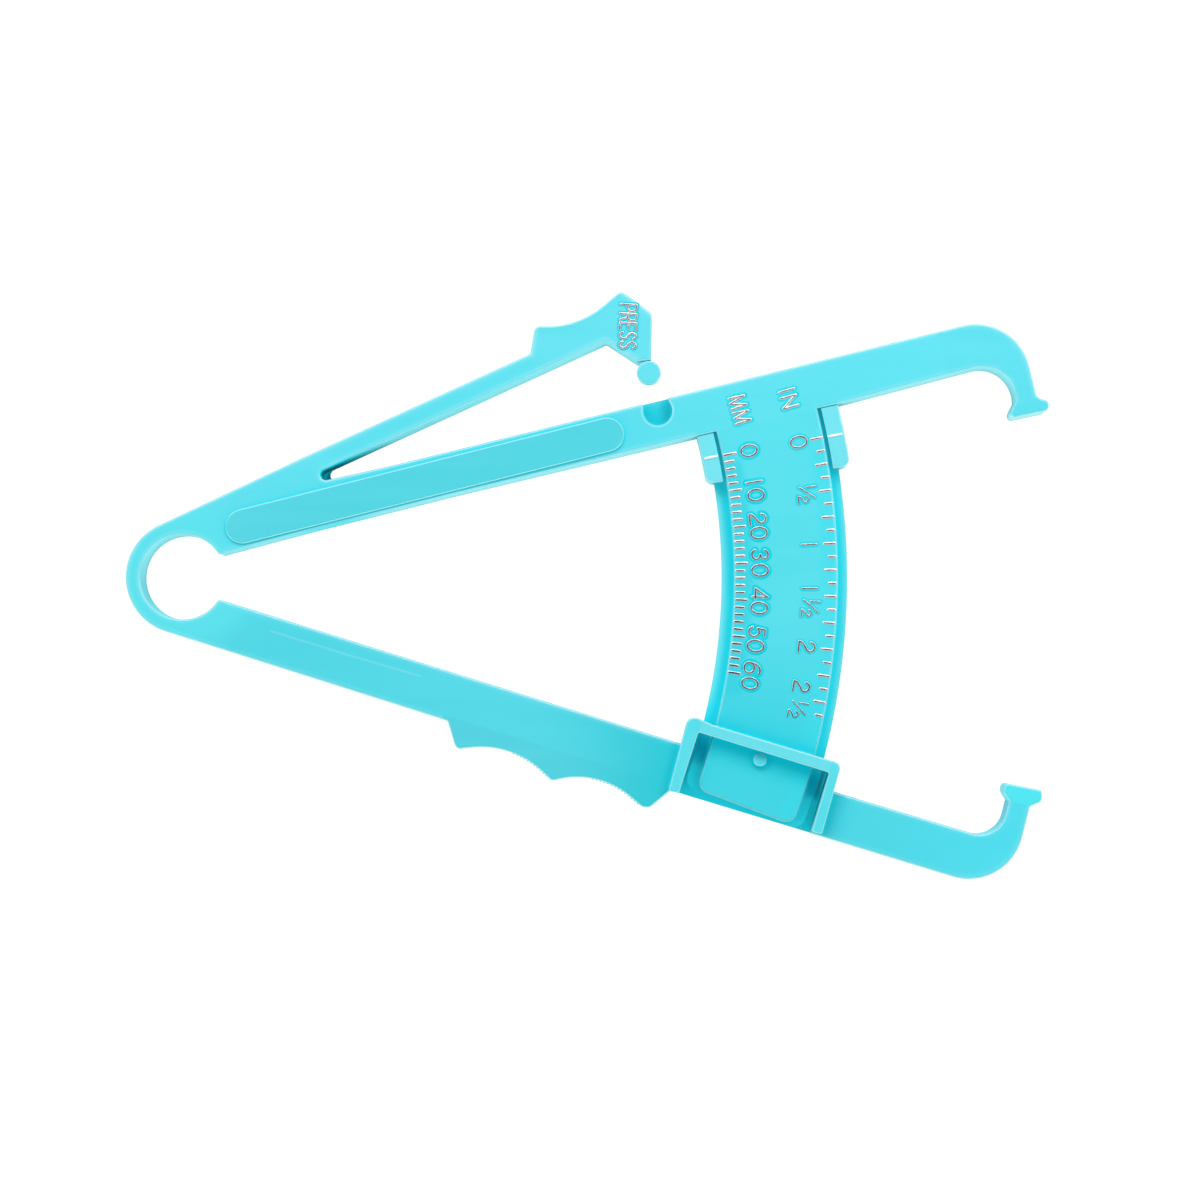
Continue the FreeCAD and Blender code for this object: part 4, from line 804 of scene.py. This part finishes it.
def fill_inch_figures(v, f):
    for ch, r, phi in INCH_FIGURES:
        x, y = polar(r, phi)
        if ch[0] == "h":
            glyph(v, f, ch[1], x, y, phi, HALF_H, HALF_W, BODY_T, HALF)
        elif ch == "/":
            glyph(v, f, ch, x, y, phi, SLASH_H, SLASH_W, BODY_T, HALF)
        else:
            glyph(v, f, ch, x, y, phi, FIG_H if ch != "1" else 2.62, FIG_W[ch], BODY_T, FIGURE)


def fill_units(v, f):
    for ch, r, phi in UNIT_FIGURES:
        glyph(v, f, ch, *polar(r, phi), phi, UNIT_H, FIG_W[ch], BODY_T, UNIT)


def fill_press(v, f):
    for ch, x, y in PRESS_LETTERS:
        glyph(v, f, ch, x, y, -4.0, PRESS_H, PRESS_W, BODY_T, PRESSED)


def fill_index(v, f):
    radial(v, f, 106.10, 108.73, ZERO_PHI + 0.23, 7.9, 0.46)
    radial(v, f, 128.87, 131.67, ZERO_PHI - 0.06, 7.9, 0.46)


marking("millimetre_lines", "mm_ticks", "upper_arm", DULL, fill_mm_ticks)
marking("millimetre_figures", "mm_numerals", "upper_arm", INK, fill_mm_figures)
marking("inch_lines", "inch_ticks", "upper_arm", FOIL, fill_inch_ticks)
marking("inch_figures", "inch_numerals", "upper_arm", INK, fill_inch_figures)
marking("unit_letters", "unit_marks", "upper_arm", FOIL, fill_units)
marking("press_letters", "press_lettering", "press_lever", FOIL, fill_press)
border("figure_borders", "upper_arm", NEAR_FIGURES, fill_mm_figures, 1.16)
border("inch_borders", "upper_arm", NEAR_INCHES, fill_inch_figures, 0.80)
border("unit_borders", "upper_arm", NEAR_UNITS, fill_units, 0.90)
border("press_borders", "press_lever", NEAR_PRESS, fill_press, 0.60)
marking("pointer_lines", "slide_index_marks", "slide", WHITE, fill_index)

# ------------------------------------------------------------------- stage
floor_me = bpy.data.meshes.new("floor")
S = 4.0
floor_me.from_pydata([(-S, -S, -0.00005), (S, -S, -0.00005), (S, S, -0.00005), (-S, S, -0.00005)], [], [(0, 1, 2, 3)])
floor = bpy.data.objects.new("floor", floor_me)
bpy.context.scene.collection.objects.link(floor)
fm = Mat("floor_paper")
fm.set(Base_Color=fm.mix(fm.noise(3.0, 2.0, 0.5), rgb(0.13, 0.13, 0.13), rgb(0.15, 0.15, 0.15)))
fm.s.inputs["Roughness"].default_value = 0.9
fm.s.inputs["Specular IOR Level"].default_value = 0.1
fm.s.inputs["Emission Color"].default_value = rgb(1.0, 1.0, 1.0)
fm.s.inputs["Emission Strength"].default_value = 1.0
floor_me.materials.append(fm.m)


def softbox(name, loc, aim, size, power, colour=(1, 1, 1)):
    l = bpy.data.lights.new(name, "AREA")
    l.shape = "RECTANGLE"
    l.size, l.size_y = size
    l.energy = power
    l.color = colour
    o = bpy.data.objects.new(name, l)
    bpy.context.scene.collection.objects.link(o)
    o.location = loc
    o.rotation_mode = "QUATERNION"
    o.rotation_quaternion = (Vector(aim) - Vector(loc)).to_track_quat("-Z", "Y")
    return o


softbox("strip_above", (-0.22, 0.80, 0.60), (0, 0, 0), (1.50, 0.34), 10.5)
softbox("key_right", (0.46, 0.42, 0.58), (0.05, 0.02, 0), (0.40, 0.40), 2.6)

world = bpy.data.worlds.new("studio")
bpy.context.scene.world = world
world.use_nodes = True
wt = world.node_tree
wt.nodes.clear()
wo = wt.nodes.new("ShaderNodeOutputWorld")
bg = wt.nodes.new("ShaderNodeBackground")
tc = wt.nodes.new("ShaderNodeTexCoord")
sep = wt.nodes.new("ShaderNodeSeparateXYZ")
ramp = wt.nodes.new("ShaderNodeValToRGB")
wt.links.new(tc.outputs["Generated"], sep.inputs[0])
wt.links.new(sep.outputs["Z"], ramp.inputs[0])
wt.links.new(ramp.outputs[0], bg.inputs["Color"])
wt.links.new(bg.outputs[0], wo.inputs[0])
e = ramp.color_ramp.elements
e[0].position, e[0].color = 0.0, rgb(0.95, 0.95, 0.95)
e[1].position, e[1].color = 1.0, rgb(0.30, 0.30, 0.30)
mid = ramp.color_ramp.elements.new(0.78)
mid.color = rgb(0.95, 0.95, 0.95)
low = ramp.color_ramp.elements.new(0.93)
low.color = rgb(0.36, 0.36, 0.36)
bg.inputs["Strength"].default_value = 0.80

# ------------------------------------------------------------------ camera
F_PX, SIDE = 3465.0, 1200.0
look = Vector((68.0 / F_PX, -110.0 / F_PX, -1.0)).normalized()
cam = bpy.data.cameras.new("camera")
cam.sensor_fit = "HORIZONTAL"
cam.sensor_width = 36.0
cam.lens = F_PX / SIDE * 36.0
cam.clip_start, cam.clip_end = 0.02, 20.0
cam_o = bpy.data.objects.new("camera", cam)
bpy.context.scene.collection.objects.link(cam_o)
cam_o.location = (0.01525, -0.02260, 0.638)
cam_o.rotation_mode = "QUATERNION"
cam_o.rotation_quaternion = look.rotation_difference(Vector((0, 0, -1)))
bpy.context.scene.camera = cam_o
bpy.context.scene.view_settings.view_transform = "Standard"
bpy.context.scene.view_settings.look = "None"
